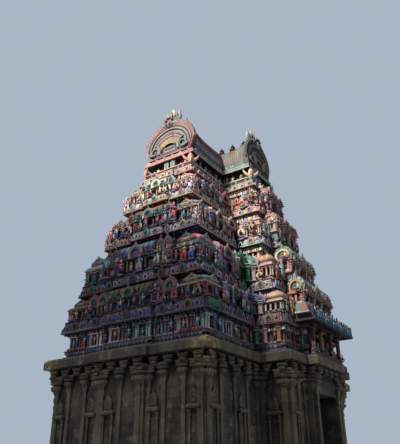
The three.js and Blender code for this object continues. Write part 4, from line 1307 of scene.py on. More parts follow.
def portal_end(heap, end, ridge_end, side, depth, pier_height, rise, paints):
    """An end of a portal's roof with its arch, and the low wall with a hood under it."""
    heap.add(block(depth * 0.6, 0.04, rise * 0.66, "heart"), ridge_end, paints, y=0.05, z=0.06)
    heap.add(FIGURES["seated four arms"], ridge_end, paints, -side * 0.2 * depth, -0.2, 0.02,
             size=(rise * 0.95, rise * 0.7, rise * 0.72))
    hood = pier_height * 0.4
    over = pier_height - hood
    for form, y, z in (
            (block(depth * 0.86, 0.12, 0.16, "rim"), -0.14, pier_height + 0.04),
            (stack(depth * 0.8, 0.2, 0.3, EAVE_PROFILE), -0.06, hood),
            (block(depth * 0.74, 0.1, hood, "base"), 0, 0),
            (block(depth * 0.7, 0.12, 0.1, "trim"), -0.04, hood + 0.3),
            (block(depth * 0.74, 0.06, over, "dark"), 0.12, hood)):
        heap.add(form, end, paints, y=y, z=z)
    for x, role in ((-0.3, "lobe"), (0, "shaft"), (0.3, "lobe")):
        heap.add(block(0.16, 0.14, over - 0.36, role), end, paints, x * depth, -0.02, hood + 0.36)


def portal(name, level, turn):
    """The pavilion before a doorway; level is that of the cornice it stands on."""
    low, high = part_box(name)
    half = high.x - 0.04
    front, back = (-(high.y - 0.08), -low.y) if turn else (low.y + 0.08, high.y)
    depth = back - front
    heap = Heap(f"{name}_stucco")
    source = random.Random(level * 7 + turn)
    paints = PORTAL_PAINTS[level]
    place = spot(turn=turn) @ spot(0, front, low.z)
    pier_height = DOOR_SILL + DOOR_HEIGHTS[level + 1] + 0.03
    pier = pier_height - DOOR_SILL
    roof_low = pier_height + 0.11
    rise = high.z - low.z - roof_low
    sill = stack(2 * half, depth, DOOR_SILL, "base 0.02 0  0.02 0.8  trim -0.02 1")
    heap.add(sill, place, paints)
    inner = DOOR_HALF_WIDTHS[level + 1] + PIER_WIDTH / 2
    outer = half - PIER_WIDTH / 2
    for x in (-outer, -inner, inner, outer):
        for y in (0.2, depth - 0.2):
            heap.add(PIER, place, paints, x, y, DOOR_SILL,
                     size=(PIER_WIDTH * 1.15, PIER_WIDTH * 1.15, pier))
    for side in (-1, 1):
        x = side * (inner + outer) / 2
        tall = min(pier * 0.84, (outer - inner) * 1.9)
        warden = spot(x, 0.12, DOOR_SILL, size=(tall * side, tall, tall))
        set_figure(heap, place @ warden, ["guardian"], source)
        heap.add(block(outer - inner, 0.08, pier, "dark"), place, paints,
                 x, depth - 0.35, DOOR_SILL)
    for x in evenly(2 * half, 0.62)[0] - half:
        if abs(x) > DOOR_HALF_WIDTHS[level + 1]:
            stand = spot(x + source.uniform(-0.1, 0.1), -0.06, 0.08,
                         size=pier_height * source.uniform(0.42, 0.6))
            set_figure(heap, place @ stand, STANDING, source)
    heap.add(stack(2 * half, depth, 0.3, EAVE_PROFILE), place, EAVE_PAINTS[level],
             z=pier_height - 0.03)
    for x in evenly(2 * half, 0.5)[0] - half:
        heap.add(SMALL_KUDU, place, paints, x, -0.11, pier_height, size=(0.28, 0.36, 0.32))
    ridge = place @ spot(y=depth / 2, z=roof_low)
    roof = barrel(2 * half * 0.97 - 0.2, depth * 0.92, rise, max(4, round(half * 3)))
    heap.add(roof, ridge, paints)
    for side in (-1, 1):
        ridge_end = ridge @ spot(x=side * half * 0.97, turn=side * 90)
        heap.add(OPEN_KUDU, ridge_end, paints, size=(depth * 1.02, 0.5, rise * 1.04))
        end = place @ spot(side * half, depth / 2, turn=side * 90)
        portal_end(heap, end, ridge_end, side, depth, pier_height, rise, PORTAL_END_PAINTS[level])
        heap.add(RING_KUDU, place, paints, side * half * 0.62, 0.02, roof_low + 0.02,
                 size=(0.7, 0.5, rise * 0.62))
    heap.add(PLEATED_KUDU, place, paints, 0, 0, roof_low - 0.05,
             size=(rise * 1.15, 0.7, rise * 0.9))
    for x in evenly(2 * half, 0.6)[0] - half:
        sitting = spot(x, -0.02, roof_low + 0.04, size=source.uniform(0.62, 0.8))
        set_figure(heap, place @ sitting, SEATED, source)
    for x in evenly(2 * half * 0.9, 0.7)[0] - half * 0.9:
        heap.add(POT, ridge, paints, x, 0, rise * 0.97, size=0.26)
    doorway = spot(turn=turn) @ spot(0, -DOOR_BACK[level + 1], TOPS[level] + DOOR_SILL)
    door_frame(heap, doorway, DOOR_HALF_WIDTHS[level + 1], DOOR_HEIGHTS[level + 1],
               scheme(rim="yellow", trim="sky"))
    return heap, name


portal_heaps = [
    portal(f"portal_{level + 2}_{side}", level, turn)
    for level in range(4) for side, turn in (("front", 0), ("back", 180))
]
print("portals:", len(portal_heaps))

# %% Build the porch of the first storey
COLUMN_PLACES = (-2.25, -0.85, 0.85, 2.25)
CANOPY_REACH = 1.6
CANOPY_CURVE = [(0.0, 0.0), (1.06, 0.0), (1.5, -0.1), (1.6, -0.06), (1.6, 0.04), (1.55, 0.2),
                (1.44, 0.36), (1.25, 0.52), (1.0, 0.64), (0.6, 0.76), (0.0, 0.86)]
CANOPY_RIBS = 18
CANOPY_FIELDS = [f"rim/{field}/{field}/{field}/{field}/bead/lobe/lobe/base/base/base"
                 for field in ("roof", "rib")]
CANOPY_CROWD_NAMES = ["seated", "bearer", "seated four arms", "dancing"]
SEATED_PLACES = (-2.5, -2.0, -0.55, 0.55, 2.0, 2.5)


def canopy_skin(half, back):
    """A curved canopy from x = -half to half, ribbed, its back at y = back."""
    rings = []
    for i, x in enumerate(np.linspace(-half, half, 2 * CANOPY_RIBS)):
        swell = 1.02 if i % 2 else 1.0
        rings.append([(x, back - out * swell, z * swell) for out, z in reversed(CANOPY_CURVE)])
    return loft(rings, [CANOPY_FIELDS[i % 2] for i in range(len(rings) - 1)])


def porch_columns(side, turn, source, canopy_low):
    """Columns and wardens before the lowest doorway, and seated figures on the sill."""
    low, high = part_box(f"porch_columns_{side}")
    outer, half = max(abs(low.y), abs(high.y)), high.x
    heap = Heap(f"porch_columns_{side}_stucco")
    dark = scheme(shaft="maroon", trim="brown", base="plum", rim="brown", dark="soot")
    bright = scheme(shaft="ochre", trim="maroon", base="plum", rim="yellow")
    place = spot(turn=turn)
    sill = "base 0 0  trim 0.03 0.2  base 0.03 0.4  -0.02 0.8  trim 0.03 1"
    heap.add(stack(2 * half, 0.3, 0.27, sill), place, dark, 0, -outer, low.z)
    stand = low.z + 0.26
    tall = canopy_low + 0.11 - stand
    for i, x in enumerate(COLUMN_PLACES):
        heap.add(COLUMN, place, bright if i == 1 else dark, x, -outer + 0.15, stand,
                 size=(0.42, 0.42, tall))
    beam = block(2 * half, 0.24, 0.16, "trim")
    heap.add(beam, place, dark, 0, -outer + 0.03, stand + tall - 0.16)
    door = place @ spot(0, -DOOR_BACK[0], stand - 0.14)
    frame_paints = scheme(rim="yellow", trim="maroon")
    door_frame(heap, door, DOOR_HALF_WIDTHS[0], DOOR_HEIGHTS[0], frame_paints)
    for x in (-1.55, 1.55):
        warden = spot(x, -DOOR_BACK[0] - 0.2, stand - 0.2,
                      size=(math.copysign(1.45, x), 1.45, 1.45))
        set_figure(heap, place @ warden, ["guardian"], source)
    for x in SEATED_PLACES:
        set_figure(heap, place @ spot(x, -outer - 0.02, stand - 0.04, size=0.62), SEATED, source)
    return heap


def porch_canopy(side, turn, source, low, high):
    """The canopy, its box-shaped ends, and the arches and small figures along its edge."""
    heap = Heap(f"porch_canopy_{side}_stucco")
    reach = max(abs(low.y), abs(high.y))
    place = spot(turn=turn)
    paints = scheme(roof="slate", rib="teal", rim="lichen", lobe="navy", base="soot", bead="teal")
    heap.add(canopy_skin(high.x - 0.04, -(reach - CANOPY_REACH)), place, paints, z=low.z + 0.11)
    # Painted shade: the slab behind each end box is dark maroon at half strength, partly its own
    # dark red and partly the shade under the box.
    end_paints = scheme(trim="white", lobe="salmon", shaft="lichen", dark="maroon")
    end_paints[ROLE["dark"]] *= 0.5
    ochre = scheme(skin="ochre", cloth="peach", crown="yellow", gold="ochre", base="rose")
    for sx in (-1, 1):
        end = place @ spot(sx * (high.x - 0.06), -reach + 0.86, low.z + 0.42, turn=sx * 90)
        heap.add(total([
            block(1.66, 0.1, 0.86, "dark").at(y=-0.05, z=-0.4),
            block(0.98, 0.76, 0.1, "trim").at(x=-sx * 0.16, y=-0.38, z=0.04),
            block(0.92, 0.7, 0.54, "shaft", 0.8).at(x=-sx * 0.16, y=-0.35, z=0.14),
            block(0.5, 0.68, 0.46, "lobe", 0.6).at(x=-sx * 0.34, y=-0.4, z=0.14),
        ]), end, end_paints)
        heap.add(FIGURES["four arms"], end, ochre, sx * 0.62, -0.2, size=(1.0, 0.9, 0.86))
    lips = schemes(
        "rim bead dark lobe", "slate sky navy sea", "stone sky navy sea", "teal sky navy sea")
    for i, x in enumerate(evenly(2 * high.x - 0.3, 0.46)[0] - high.x + 0.15):
        for slide, y, z, size in ((0, 0.2, 0.42, 0.56), (0.23, 0.5, 0.66, 0.68)):
            small = spot(x + slide, -reach + y, low.z + z, size=size)
            set_figure(heap, place @ small, [CANOPY_CROWD_NAMES[i % 4]], source, CANOPY_CROWD)
        heap.add(SMALL_KUDU, place, lips[i % 3], x, -reach + 0.02, low.z + 0.1,
                 size=(0.46, 0.4, 0.44))
    return heap


porch_heaps = {}
for side, turn in (("front", 0), ("back", 180)):
    source = random.Random(40 + turn)
    low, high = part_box(f"porch_canopy_{side}")
    columns = porch_columns(side, turn, source, low.z)
    porch_heaps[side] = columns, porch_canopy(side, turn, source, low, high)
print("porches:", len(porch_heaps))

# %% [markdown]
# ## The neck and the parapet round it
#
# Under the roof the walls shrink back into deep shade. A parapet runs round this neck, with
# seated figures on it, and its corners carry leaves of three horns that stand clear of the
# roof. Each horn is a limb like those of the figures, flattened and bent outwards.

# %% Build the parapet and its corner leaves
TOP_PLAN = [PLANS[4][i] for i in (2, 3, 4)]
PARAPET_FACE = -0.26
PARAPET_HEIGHT = 0.52
FIVE_LOBES = "lobe/lobe/lobe/lobe/lobe/rim"
parapet_heap = Heap("top_parapet_stucco")
parapet_low = TOPS[4]
parapet_band = banded(TOP_PLAN, PARAPET_FACE, parapet_low, f"""
    base -0.22 0  trim -0.02 0  -0.02 0.06  wall -0.07 0.08  trim -0.07 0.33
    {FIVE_LOBES} 0 0.37  0.05 0.4  0.05 0.46  trim -0.02 0.52  base -0.22 0.53""")
parapet_heap.add(parapet_band, spot(), scheme(
    base="rose", wall="maroon", trim="cream", lobe="mint", rim="pink"))
parapet_random = random.Random(21)
for run in runs(TOP_PLAN, PARAPET_FACE):
    outer = run.bay in ("end", "wing")
    lobes = ["pink", "salmon", "cream", "peach"] if outer else ["mint", "sea", "cream"]
    middles = evenly(run.length, 0.62)[0]
    for i, where in enumerate(middles):
        if run.bay in ("end", "door") and abs(where - run.length / 2) < 0.75:
            continue
        if i % 2 and len(middles) > 2:
            lobe = parapet_random.choice(lobes)
            paints = scheme(lobe=lobe, bead="cream", rim="pink", heart="soot")
            parapet_heap.add(RING_KUDU, along(run, where, -0.02, parapet_low + 0.06), paints,
                             size=(0.6, 0.5, 0.52))
        else:
            sit = along(run, where, -0.1, parapet_low + 0.3) @ spot(size=0.66)
            set_figure(parapet_heap, sit, [*SEATED, "folded"], parapet_random)


def sided(side, *path):
    """A path of points, turned over to the left where side is -1."""
    return [(side * x, y, z) for x, y, z in path]


def corner_leaf():
    """Three horns from one foot; the side ones curl up and out."""
    spike = [(0, 0, -0.1), (0, -0.05, 0.2), (0, -0.08, 0.5), (0, -0.02, 0.7), (0, 0.02, 0.84)]
    tongue = [(0, -0.1, 0.0), (0, -0.18, 0.25), (0, -0.16, 0.5)]
    parts = [limb(spike, [0.2, 0.27, 0.2, 0.1, 0.015], "lobe", 8, 0.5),
             limb(tongue, [0.1, 0.13, 0.02], "rim", 6)]
    for side in (-1, 1):
        path = sided(side, (0, 0, 0.02), (0.28, -0.02, 0.12), (0.48, -0.02, 0.27),
                     (0.6, -0.02, 0.45), (0.65, -0.02, 0.62))
        parts.append(limb(path, [0.16, 0.15, 0.12, 0.07, 0.012], "lobe", 8, 0.7))
    return total(parts)


LEAF = corner_leaf()
LEAF_INSET = 0.13
LEAF_PAINTS = schemes("lobe rim", "salmon peach", "cream orange")
for sx, sy in ((-1, -1), (-1, 1), (1, -1), (1, 1)):
    degrees = math.degrees(math.atan2(sx, -sy))
    for (x, y), paints in zip((TOP_PLAN[0], TOP_PLAN[2]), LEAF_PAINTS):
        leaf = spot(sx * (x + PARAPET_FACE - LEAF_INSET), sy * (y + PARAPET_FACE - LEAF_INSET),
                    parapet_low + PARAPET_HEIGHT - 0.02, degrees)
        parapet_heap.add(LEAF, leaf, paints)
print("leaf:", len(LEAF.faces), "faces")

# %% Dress the neck and the eave over it
NECK_OFFSET = -0.56
neck_heap = Heap("neck_ornament")
neck_tall = EAVE_LOW - TOPS[4]
for run in runs(EAVE_PLAN, NECK_OFFSET):
    has_window = run.bay in ("door", "end")
    if has_window:
        for side in (-1, 1):
            post = along(run, run.length / 2 + side * 0.3, 0.42, TOPS[4])
            neck_heap.add(block(0.4, 0.4, neck_tall, "shaft"), post, scheme(shaft="lichen"))
            groove = block(0.16, 0.06, neck_tall, "shaft")
            neck_heap.add(groove, post, scheme(shaft="slate"), y=-0.05)
        for x in np.linspace(-0.3, 0.3, 5):
            bar = along(run, run.length / 2 + x, 0.1, TOPS[4] + 0.35)
            neck_heap.add(PIER, bar, scheme(shaft="stone", trim="stone", base="slate"),
                          size=(0.07, 0.07, 0.9))
    for where in evenly(run.length, 0.8)[0]:
        if has_window and abs(where - run.length / 2) < 0.7:
            continue
        stand = along(run, where, 0.12, TOPS[4] + 0.3) @ spot(size=0.95)
        set_figure(neck_heap, stand, STANDING, parapet_random)
TRIM_LINE, ROOF_LINE = "trim/trim/trim/trim/trim/rim", "roof/roof/roof/roof/roof/rim"
eave_band = banded(EAVE_PLAN, 0.0, EAVE_LOW, f"""
    base -0.14 -0.04  {TRIM_LINE} 0.03 -0.04  0.07 0  trim 0.07 0.05  {ROOF_LINE} 0.03 0.06
    trim/trim/trim/trim/trim/lobe 0.03 0.18  trim 0.06 0.2  {ROOF_LINE} 0.05 0.24  -0.1 0.4
    trim -0.14 0.46  base -0.2 0.46""")
# Painted shade: the eave's underside lines (base) are soot, for the shade under the eave.
neck_heap.add(eave_band, spot(), scheme(
    roof="sea", trim="stone", rim="salmon", lobe="pink", base="soot"))
row_on_runs(neck_heap, runs(EAVE_PLAN, 0.0), SMALL_KUDU, 0.74, EAVE_LOW + 0.08, (0.3, 0.3, 0.34),
            schemes("rim bead", "mint white", "sky cream"), 0.02)
print("the neck is", round(neck_tall, 2), "m high")

# %% [markdown]
# ## The four gables
#
# The roof ends in four huge kudus, and they are the first thing one sees from below.
# They are made like the small ones, only with more rings and more points: a fringe of pleats,
# rings of beads, a sunk dark line, and a recessed field with a small arched window. Here the
# rings shrink about the foot, so that all of them stand on the sill. A crest of five plumes
# over a small horned mask, and a curled leaf at each foot, finish the gable.

# %% Model the leaf and the crest of a gable
def makara(side):
    """A curled leaf in three tubes, its snout to the outside."""
    turns = zip(np.linspace(-0.6, 4.6, 12), np.linspace(0.48, 0.1, 12))
    curl = sided(side, *((math.cos(a) * r, -0.02, 0.38 + math.sin(a) * r) for a, r in turns))
    back = sided(side, (-0.3, 0.02, 0.05), (-0.4, -0.02, 0.44), (-0.16, -0.04, 0.9),
                 (0.18, -0.02, 1.14))
    jaw = sided(side, (0, -0.06, 0.08), (0.34, -0.12, 0.05), (0.6, -0.1, 0.2), (0.62, -0.06, 0.4))
    return (limb(curl, np.linspace(0.13, 0.04, 12), "cloth", 6)
            + limb(back, [0.19, 0.16, 0.11, 0.02], "gold", 6)
            + limb(jaw, [0.14, 0.12, 0.08, 0.02], "cloth", 6))


# The side, how far out it stands, the height of its tip, and the role.
PLUMES = [(0, 0, 1.7, "skin"), (-1, 0.56, 1.4, "rib"), (1, 0.56, 1.4, "rib"),
          (-1, 0.28, 1.05, "skin"), (1, 0.28, 1.05, "skin")]


def crest_form(height, crest):
    """Five plumes over a lotus and a small horned mask, on the crown of a gable."""
    low = height - 0.12 * crest
    boss = turned("cloth 0.5 -0.14  lobe 0.74 0.04  gold 0.6 0.14  bead 0.66 0.26  gold 0.42 0.4"
                  " cloth 0.3 0.56", 12, squash=0.4)
    mask = turned("trim 0.14 0  gold 0.34 0.14  bead 0.36 0.36  trim 0.16 0.56", 8, True, 0.7)
    parts = [boss.at(y=0.42, z=low + 0.1), mask.at(y=-0.04, z=low - 0.56 * crest)]
    for side, x, tip, role in PLUMES:
        plume = sided(side, (0.2, 0.5, low + 0.2), (x - 0.08, 0.5, low + 0.34 * tip * crest),
                      (x, 0.5, low + 0.62 * tip * crest), (x, 0.5, low + 0.82 * tip * crest),
                      (x + 0.14, 0.5, height + tip * crest))
        parts.append(limb(plume, [0.2, 0.26, 0.33, 0.21, 0.02], role, 8, 0.7))
        vein = [(px, py - 0.26, pz) for px, py, pz in plume[1:4]]
        parts.append(limb(vein, [0.04, 0.08, 0.02], "cloth", 6))
        for out in (-1, 1):
            leaf = [(side * x + out * reach, y, low + up * crest)
                    for reach, y, up in ((0.1, 0.36, 0.3), (0.26, 0.3, 0.55), (0.3, 0.34, 0.85))]
            parts.append(limb(leaf, [0.13, 0.18, 0.02], "cloth", 6, 0.6))
    for side in (-1, 1):
        knob = turned("rim 0.05 0  0.17 0.1  0.15 0.22  0.02 0.32", 8)
        parts.append(knob.at(side * 0.3, 0.3, low + 0.62 * crest))
        for number, role in enumerate(("gold", "cloth")):
            root, reach = low + (0.02 + 0.2 * number) * crest, 0.66 - 0.16 * number
            frond = sided(side, (reach - 0.2, 0.4, root), (reach + 0.12, 0.32, root + 0.02),
                          (reach + 0.22, 0.36, root + 0.14), (reach + 0.18, 0.4, root + 0.36))
            parts.append(limb(frond, [0.16, 0.17, 0.12, 0.02], role, 6, 0.7))
            bud = turned("lobe 0.1 0  0.13 0.1  0.02 0.22", 6)
            parts.append(bud.at(side * (0.12 + 0.2 * number), -0.14, low + 0.3 - 0.16 * number))
        eye = turned("dark 0.07 0  0.07 0.1", 6).at(side * 0.14, -0.3, low - 0.36 * crest)
        paw = sided(side, (0.3, -0.02, low - 0.1), (0.66, -0.08, low - 0.2),
                    (0.98, -0.06, low - 0.42))
        horn = sided(side, (0.3, 0.0, low - 0.42 * crest), (0.56, -0.04, low - 0.36 * crest),
                     (0.68, -0.02, low - 0.02 * crest))
        parts += [eye, limb(paw, [0.2, 0.18, 0.05], "rim", 6, 0.6),
                  limb(horn, [0.14, 0.11, 0.012], "trim", 6, 0.6)]
    return total(parts)


print("crest:", len(crest_form(3.35, 0.95).faces), "faces")

# %% Model the gables
GABLE_STEPS = 42
GABLE_RINGS = """
    lobe 0.985 0.36 0  1 0 0.02  lobe/rim/base 0.995 -0.08 0.02  0.89 -0.02 0
    trim 0.88 -0.1 0  0.86 -0.1 0  bead/wall 0.855 -0.07 0  0.78 -0.05 0
    trim 0.775 -0.07 0  0.75 -0.07 0  heart 0.745 0.03 0  0.7 0.03 0
    rim 0.695 -0.05 0  0.66 -0.05 0  rim/trim/bead 0.655 -0.02 0  0.59 -0.02 0
    trim 0.585 -0.04 0  0.55 -0.04 0  wall 0.54 0.02 0  0.44 0.02 0
    dark 0.43 0.12 0  0.1 0.12 0"""
WINDOW_RINGS = "crown 1 0.14 0  1 -0.08 0  0.8 -0.06 0  dark 0.78 0.1 0"
STUD_RINGS = [(0.82, 46, 0.045, -0.07), (0.62, 34, 0.04, -0.03)]
GABLES = [
    ("left", -90, (2.48, 3.35, 0.95, 2)), ("right", 90, (2.48, 3.35, 0.95, 2)),
    ("front", 0, (2.08, 2.95, 0.9, 9)), ("back", 180, (2.08, 2.95, 0.9, 9)),
]
GABLE_PAINTS = schemes(
    "lobe rim bead trim heart wall crown dark base shaft cloth gold skin rib",
    "rose blush pink blush bottle peach yellow soot rose slate lichen stone cream pink",
    "rose peach white blush green pink yellow soot plum sky sea cream peach cream",
    "olive slate lichen mauve green plum ochre soot plum slate lichen cream cream lichen",
    "teal lichen blush lilac maroon mauve orange soot plum sky green white peach cream")
GABLE_TONES = np.where(np.isin(ROLES, ["skin", "rib"]), 0.8, 0.45)[:, None]
# Painted shade: the window and the field round it are soot at 0.08, near black, for the dark inside
# of the opening.
GABLE_TONES[ROLE["dark"]] = 0.08


def gable(half, height, crest, spikes):
    """A gable with its foot at z = 0 and its face at y = 0, and spikes on each side."""
    foot = half * 0.84
    parts = [arch(foot, height, GABLE_STEPS, GABLE_RINGS, 0.0, half / foot)]
    stud = turned("gold 1 -1  1 0.2  0.4 1", 5)
    for share, count, size, depth in STUD_RINGS:
        ring = horseshoe(foot, height, count // 2, share, depth, 0, 0.0, half / foot)
        for x, y, z in ring[1:-1]:
            points = stud.points[:, [0, 2, 1]] * (size, -size, size) + (x, y - 0.02, z)
            parts.append(Form(points, stud.faces, stud.roles, stud.smooth))
    parts.append(block(foot * 1.9, 0.3, 0.12, "lobe").at(y=-0.16))
    parts.append(block(foot * 1.72, 0.26, 0.2, "shaft").at(y=-0.1, z=0.12))
    parts.append(block(foot * 1.6, 0.24, 0.06, "bead").at(y=-0.14, z=0.32))
    for side in (-1, 1):
        parts.append(makara(side).at(side * foot * 0.62, -0.08, 0.34))
        parts.append(COLUMN.at(side * foot * 0.3, 0.02, 0.34, size=(0.24, 0.24, height * 0.2)))
        spike = limb(sided(side, (0, 0, 0), (0.06, -0.05, 0.22), (0.2, -0.04, 0.44)),
                     [0.2, 0.14, 0.02], "trim", 6, 0.8)
        for number in range(spikes):
            angle = math.pi / 2 - side * math.pi * 0.56 * (number + 0.8) / spikes
            x = math.cos(angle) * half
            z = height * (WAIST + math.sin(angle) * (1 - WAIST))
            size = 0.85 - 0.3 * number / spikes
            parts.append(spike.at(x * 0.98, 0.08, z * 0.98, size=size))
    parts.append(arch(half * 0.38, height * 0.44, 9, WINDOW_RINGS, 0.0))
    parts.append(block(half * 0.46, 0.12, height * 0.14, "gold").at(y=-0.02, z=height * 0.13))
    parts.append(block(half * 0.36, 0.1, height * 0.03, "dark").at(y=-0.06, z=height * 0.2))
    parts.append(crest_form(height, crest))
    return total(parts)


gable_heaps = {}
for (side, turn, sizes), paints in zip(GABLES, GABLE_PAINTS):
    low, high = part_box(f"gable_{side}")
    axis = 0 if side in ("left", "right") else 1
    face = max(abs(low[axis]), abs(high[axis]))
    heap = Heap(f"gable_{side}_stucco")
    heap.add(gable(*sizes), spot(turn=turn), paints * GABLE_TONES, 0, -face, low.z)
    gable_heaps[side] = heap
    print(side, "gable face at", round(face, 2), "foot at", round(low.z, 2))

# %% [markdown]
# ## The barrel vaults and the finials
#
# Two ribbed vaults cross over the neck. Each is a loft of the same pointed section along its
# ridge, a little larger towards the gables, and the colour changes with the height on the
# section: a band at the foot, the field, and a capping at the ridge. Pots of copper stand in
# a row on a plinth along both ridges, an odd number on each, as the rite asks.

# %% Model the vaults
VAULT_LOW = EAVE_TOP
VAULT_FLARE = 0.11
MAIN_VAULT, CROSS_VAULT = (2.08, 2.65), (1.70, 2.52)
MAIN_REACH, CROSS_REACH = 6.0, 4.3
VAULT_STEPS = 9
VAULT_RIBS = 40
FOOT_LEVELS = (0.05, 0.1, 0.19, 0.26)
CROSS_FIELD = 0.66, 0.84
CROSS_TONE = 0.3


def vault_section(foot, rise):
    """The pointed section, with a few more points in the straight part at its foot."""
    section = horseshoe(foot, rise, VAULT_STEPS, swell=1.1)[:, [0, 2]]
    right = [section[0] + (section[1] - section[0]) * level / WAIST for level in FOOT_LEVELS]
    left = [point * (-1, 1) for point in reversed(right)]
    return np.vstack([section[:1], right, section[1:-1], left, section[-1:]])


def vault(foot, rise, half_length, roles_at):
    """A vault along X with its foot at z = 0; roles_at gives the roles of half a section."""
    rings, roles = [], []
    for i, t in enumerate(np.linspace(-1, 1, 2 * VAULT_RIBS)):
        grow = 1 + VAULT_FLARE * max(0, (abs(t) - 0.6) / 0.4) ** 2
        proud = 1.012 if i % 2 else 1.0
        section = vault_section(foot * math.sqrt(grow) * proud, rise * grow * proud)
        rings.append(np.column_stack([section[:, 0] * 0 + t * half_length, section]))
        side = roles_at(abs(t), i)
        roles.append("/".join([*side, *reversed(side), "base"]))
    return loft(rings, roles[:-1])


def main_roles(reach, i):
    field = ("roof", "roof", "rib")[i % 3]
    return ["rim", "bead", "lobe", "bead", "shaft"] + [field] * 8 + ["trim"]


def cross_roles(reach, i):
    low, high = CROSS_FIELD
    field = "crown" if low < reach < high else "roof" if i % 4 else "rib"
    return ["rim", "rim", "bead", "lobe", "lobe", "bead"] + [field] * 7 + ["trim"]


vault_heap = Heap("roof_vault_stucco")
vault_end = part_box("roof_vault")[1]
main_paints = scheme(roof="maroon", rib="plum", trim="rose", lobe="slate", rim="teal", bead="grey",
                     shaft="mauve", base="soot")
cross_paints = scheme(roof="lichen", rib="lichen", trim="stone", lobe="blush", rim="mint",
                      bead="lichen", crown="ochre", base="soot")
vault_heap.add(vault(*MAIN_VAULT, vault_end.x, main_roles), spot(z=VAULT_LOW), main_paints)
vault_heap.add(vault(*CROSS_VAULT, vault_end.y, cross_roles), spot(z=VAULT_LOW, turn=90),
               cross_paints * CROSS_TONE)
for turn, foot, reach, start, paints in (
        (0, MAIN_VAULT[0], MAIN_REACH, 2.0, scheme(rim="purple", bead="mauve", dark="soot")),
        (90, CROSS_VAULT[0], CROSS_REACH, 2.5, scheme(rim="salmon", bead="white", dark="soot"))):
    for side in (0, 180):
        face = spot(turn=turn + side) @ spot(0, -foot * 1.03, VAULT_LOW + 0.16)
        for x in np.arange(start, reach - 0.2, 0.62):
            for sx in (-1, 1):
                vault_heap.add(SMALL_KUDU, face, paints, sx * x, size=(0.34, 0.26, 0.4))
print("vault kudus:", len(vault_heap.parts) - 2)

# %% Set the finials
FINIAL_SPACING = 1.14
FINIAL_SEAT = VAULT_LOW + MAIN_VAULT[1] + 0.105
STRIP_REACH = 0.85
STRIP_HEIGHT = 0.22
finial_pot = turned("""
    gold 0.2 0  0.2 0.06  0.11 0.1  0.12 0.13  0.22 0.24  0.25 0.34  0.2 0.45  0.1 0.53
    0.11 0.56  0.17 0.61  0.16 0.68  0.06 0.75  0.08 0.81  0.05 0.87  0.008 1""", 14, smooth=True)
lotus = turned("base 0.15 -0.1  0.17 0  rim 0.24 0.04  lobe 0.25 0.1  rim 0.17 0.16", 10)
places = [(i * FINIAL_SPACING, 0.0) for i in range(-4, 5)]
places += [(0.0, side * i * FINIAL_SPACING) for side in (-1, 1) for i in range(1, 4)]
pots_heap = Heap("finial_pots")
ridge_heap = Heap("ridge_strips")
for x, y in places:
    pots_heap.add(finial_pot, spot(x, y, FINIAL_SEAT + 0.02), scheme(gold="soot"),
                  size=(1.2, 1.2, 0.94))
    ridge_heap.add(lotus, spot(x, y, FINIAL_SEAT - 0.02),
                   scheme(base="red", rim="rose", lobe="orange"))
STRIP_PROFILE = "base 0 0  0 0.5  rim 0.03 0.6  0.03 0.9  trim -0.02 1"
low = FINIAL_SEAT - STRIP_HEIGHT
for turn, ridge_reach in ((0, MAIN_REACH), (90, CROSS_REACH)):
    reach = ridge_reach * STRIP_REACH
    strip = stack(2 * reach, 0.3, STRIP_HEIGHT, STRIP_PROFILE)
    ridge_heap.add(strip, spot(turn=turn), scheme(base="salmon", rim="rose", trim="cream"),
                   0, -0.15, low)
    for x in np.arange(-reach + 0.2, reach, 0.3):
        for side in (0, 180):
            ridge_heap.add(TOOTH, spot(turn=turn + side), scheme(bead="rose"), x, -0.17, low + 0.02,
                           size=(0.12, 0.08, 0.12))
print("finials:", len(places))

# %% [markdown]
# ## Carving on the granite base
#
# The base is older than the tower over it, and of grey granite: pilasters with brackets,
# niches with small roofs, and a heavy cornice. The big shapes are in the CAD already, so only
# the carving is added: the brackets and teeth under the cornice, and what stands on the
# walls. It is set out along runs like the stucco, with fewer and larger forms. All of it has
# one paint, white, which the granite's own finish doesn't read.

# %% Carve the base
STONE_OFFSET = -0.65
STONE_PILASTER = 0.42
CORNER_PILASTER = 0.56
WALL_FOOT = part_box("stone_wall_left")[0].z
stone_heap = Heap("granite_carving")
stone_paints = scheme(**{role: "white" for role in ROLES})
CORBEL = total([
    block(1.0, 0.7, 0.26, "trim").at(y=-0.32),
    limb([(-0.6, -0.1, 0.5), (-0.3, -0.2, 0.34), (0, -0.28, 0.3), (0.3, -0.2, 0.34),
          (0.6, -0.1, 0.5)], [0.16, 0.2, 0.22, 0.2, 0.16], "trim", 6),
])
CAPITAL = total([
    turned("""trim 0.3 0  0.3 0.06  0.42 0.12  0.5 0.24  0.4 0.34  0.28 0.38  0.58 0.5  0.62 0.56
        0.36 0.6  0.36 0.66""", 6),
    CORBEL.at(z=0.62, size=(1.2, 1.1, 0.5)),
    *(TOOTH.at(x, -0.5, 0.14, size=(0.16, 0.16, 0.2)) for x in (-0.3, -0.1, 0.1, 0.3)),
])


def stone_pilaster(place, height, width):
    """A flat pilaster with its capital."""
    stone_heap.add(PIER, place, stone_paints, 0, -0.02, size=(width, width * 0.62, height))
    stone_heap.add(CAPITAL, place, stone_paints, 0, -0.1, height - width * 1.9,
                   size=(width * 1.6, 0.5, width * 2))


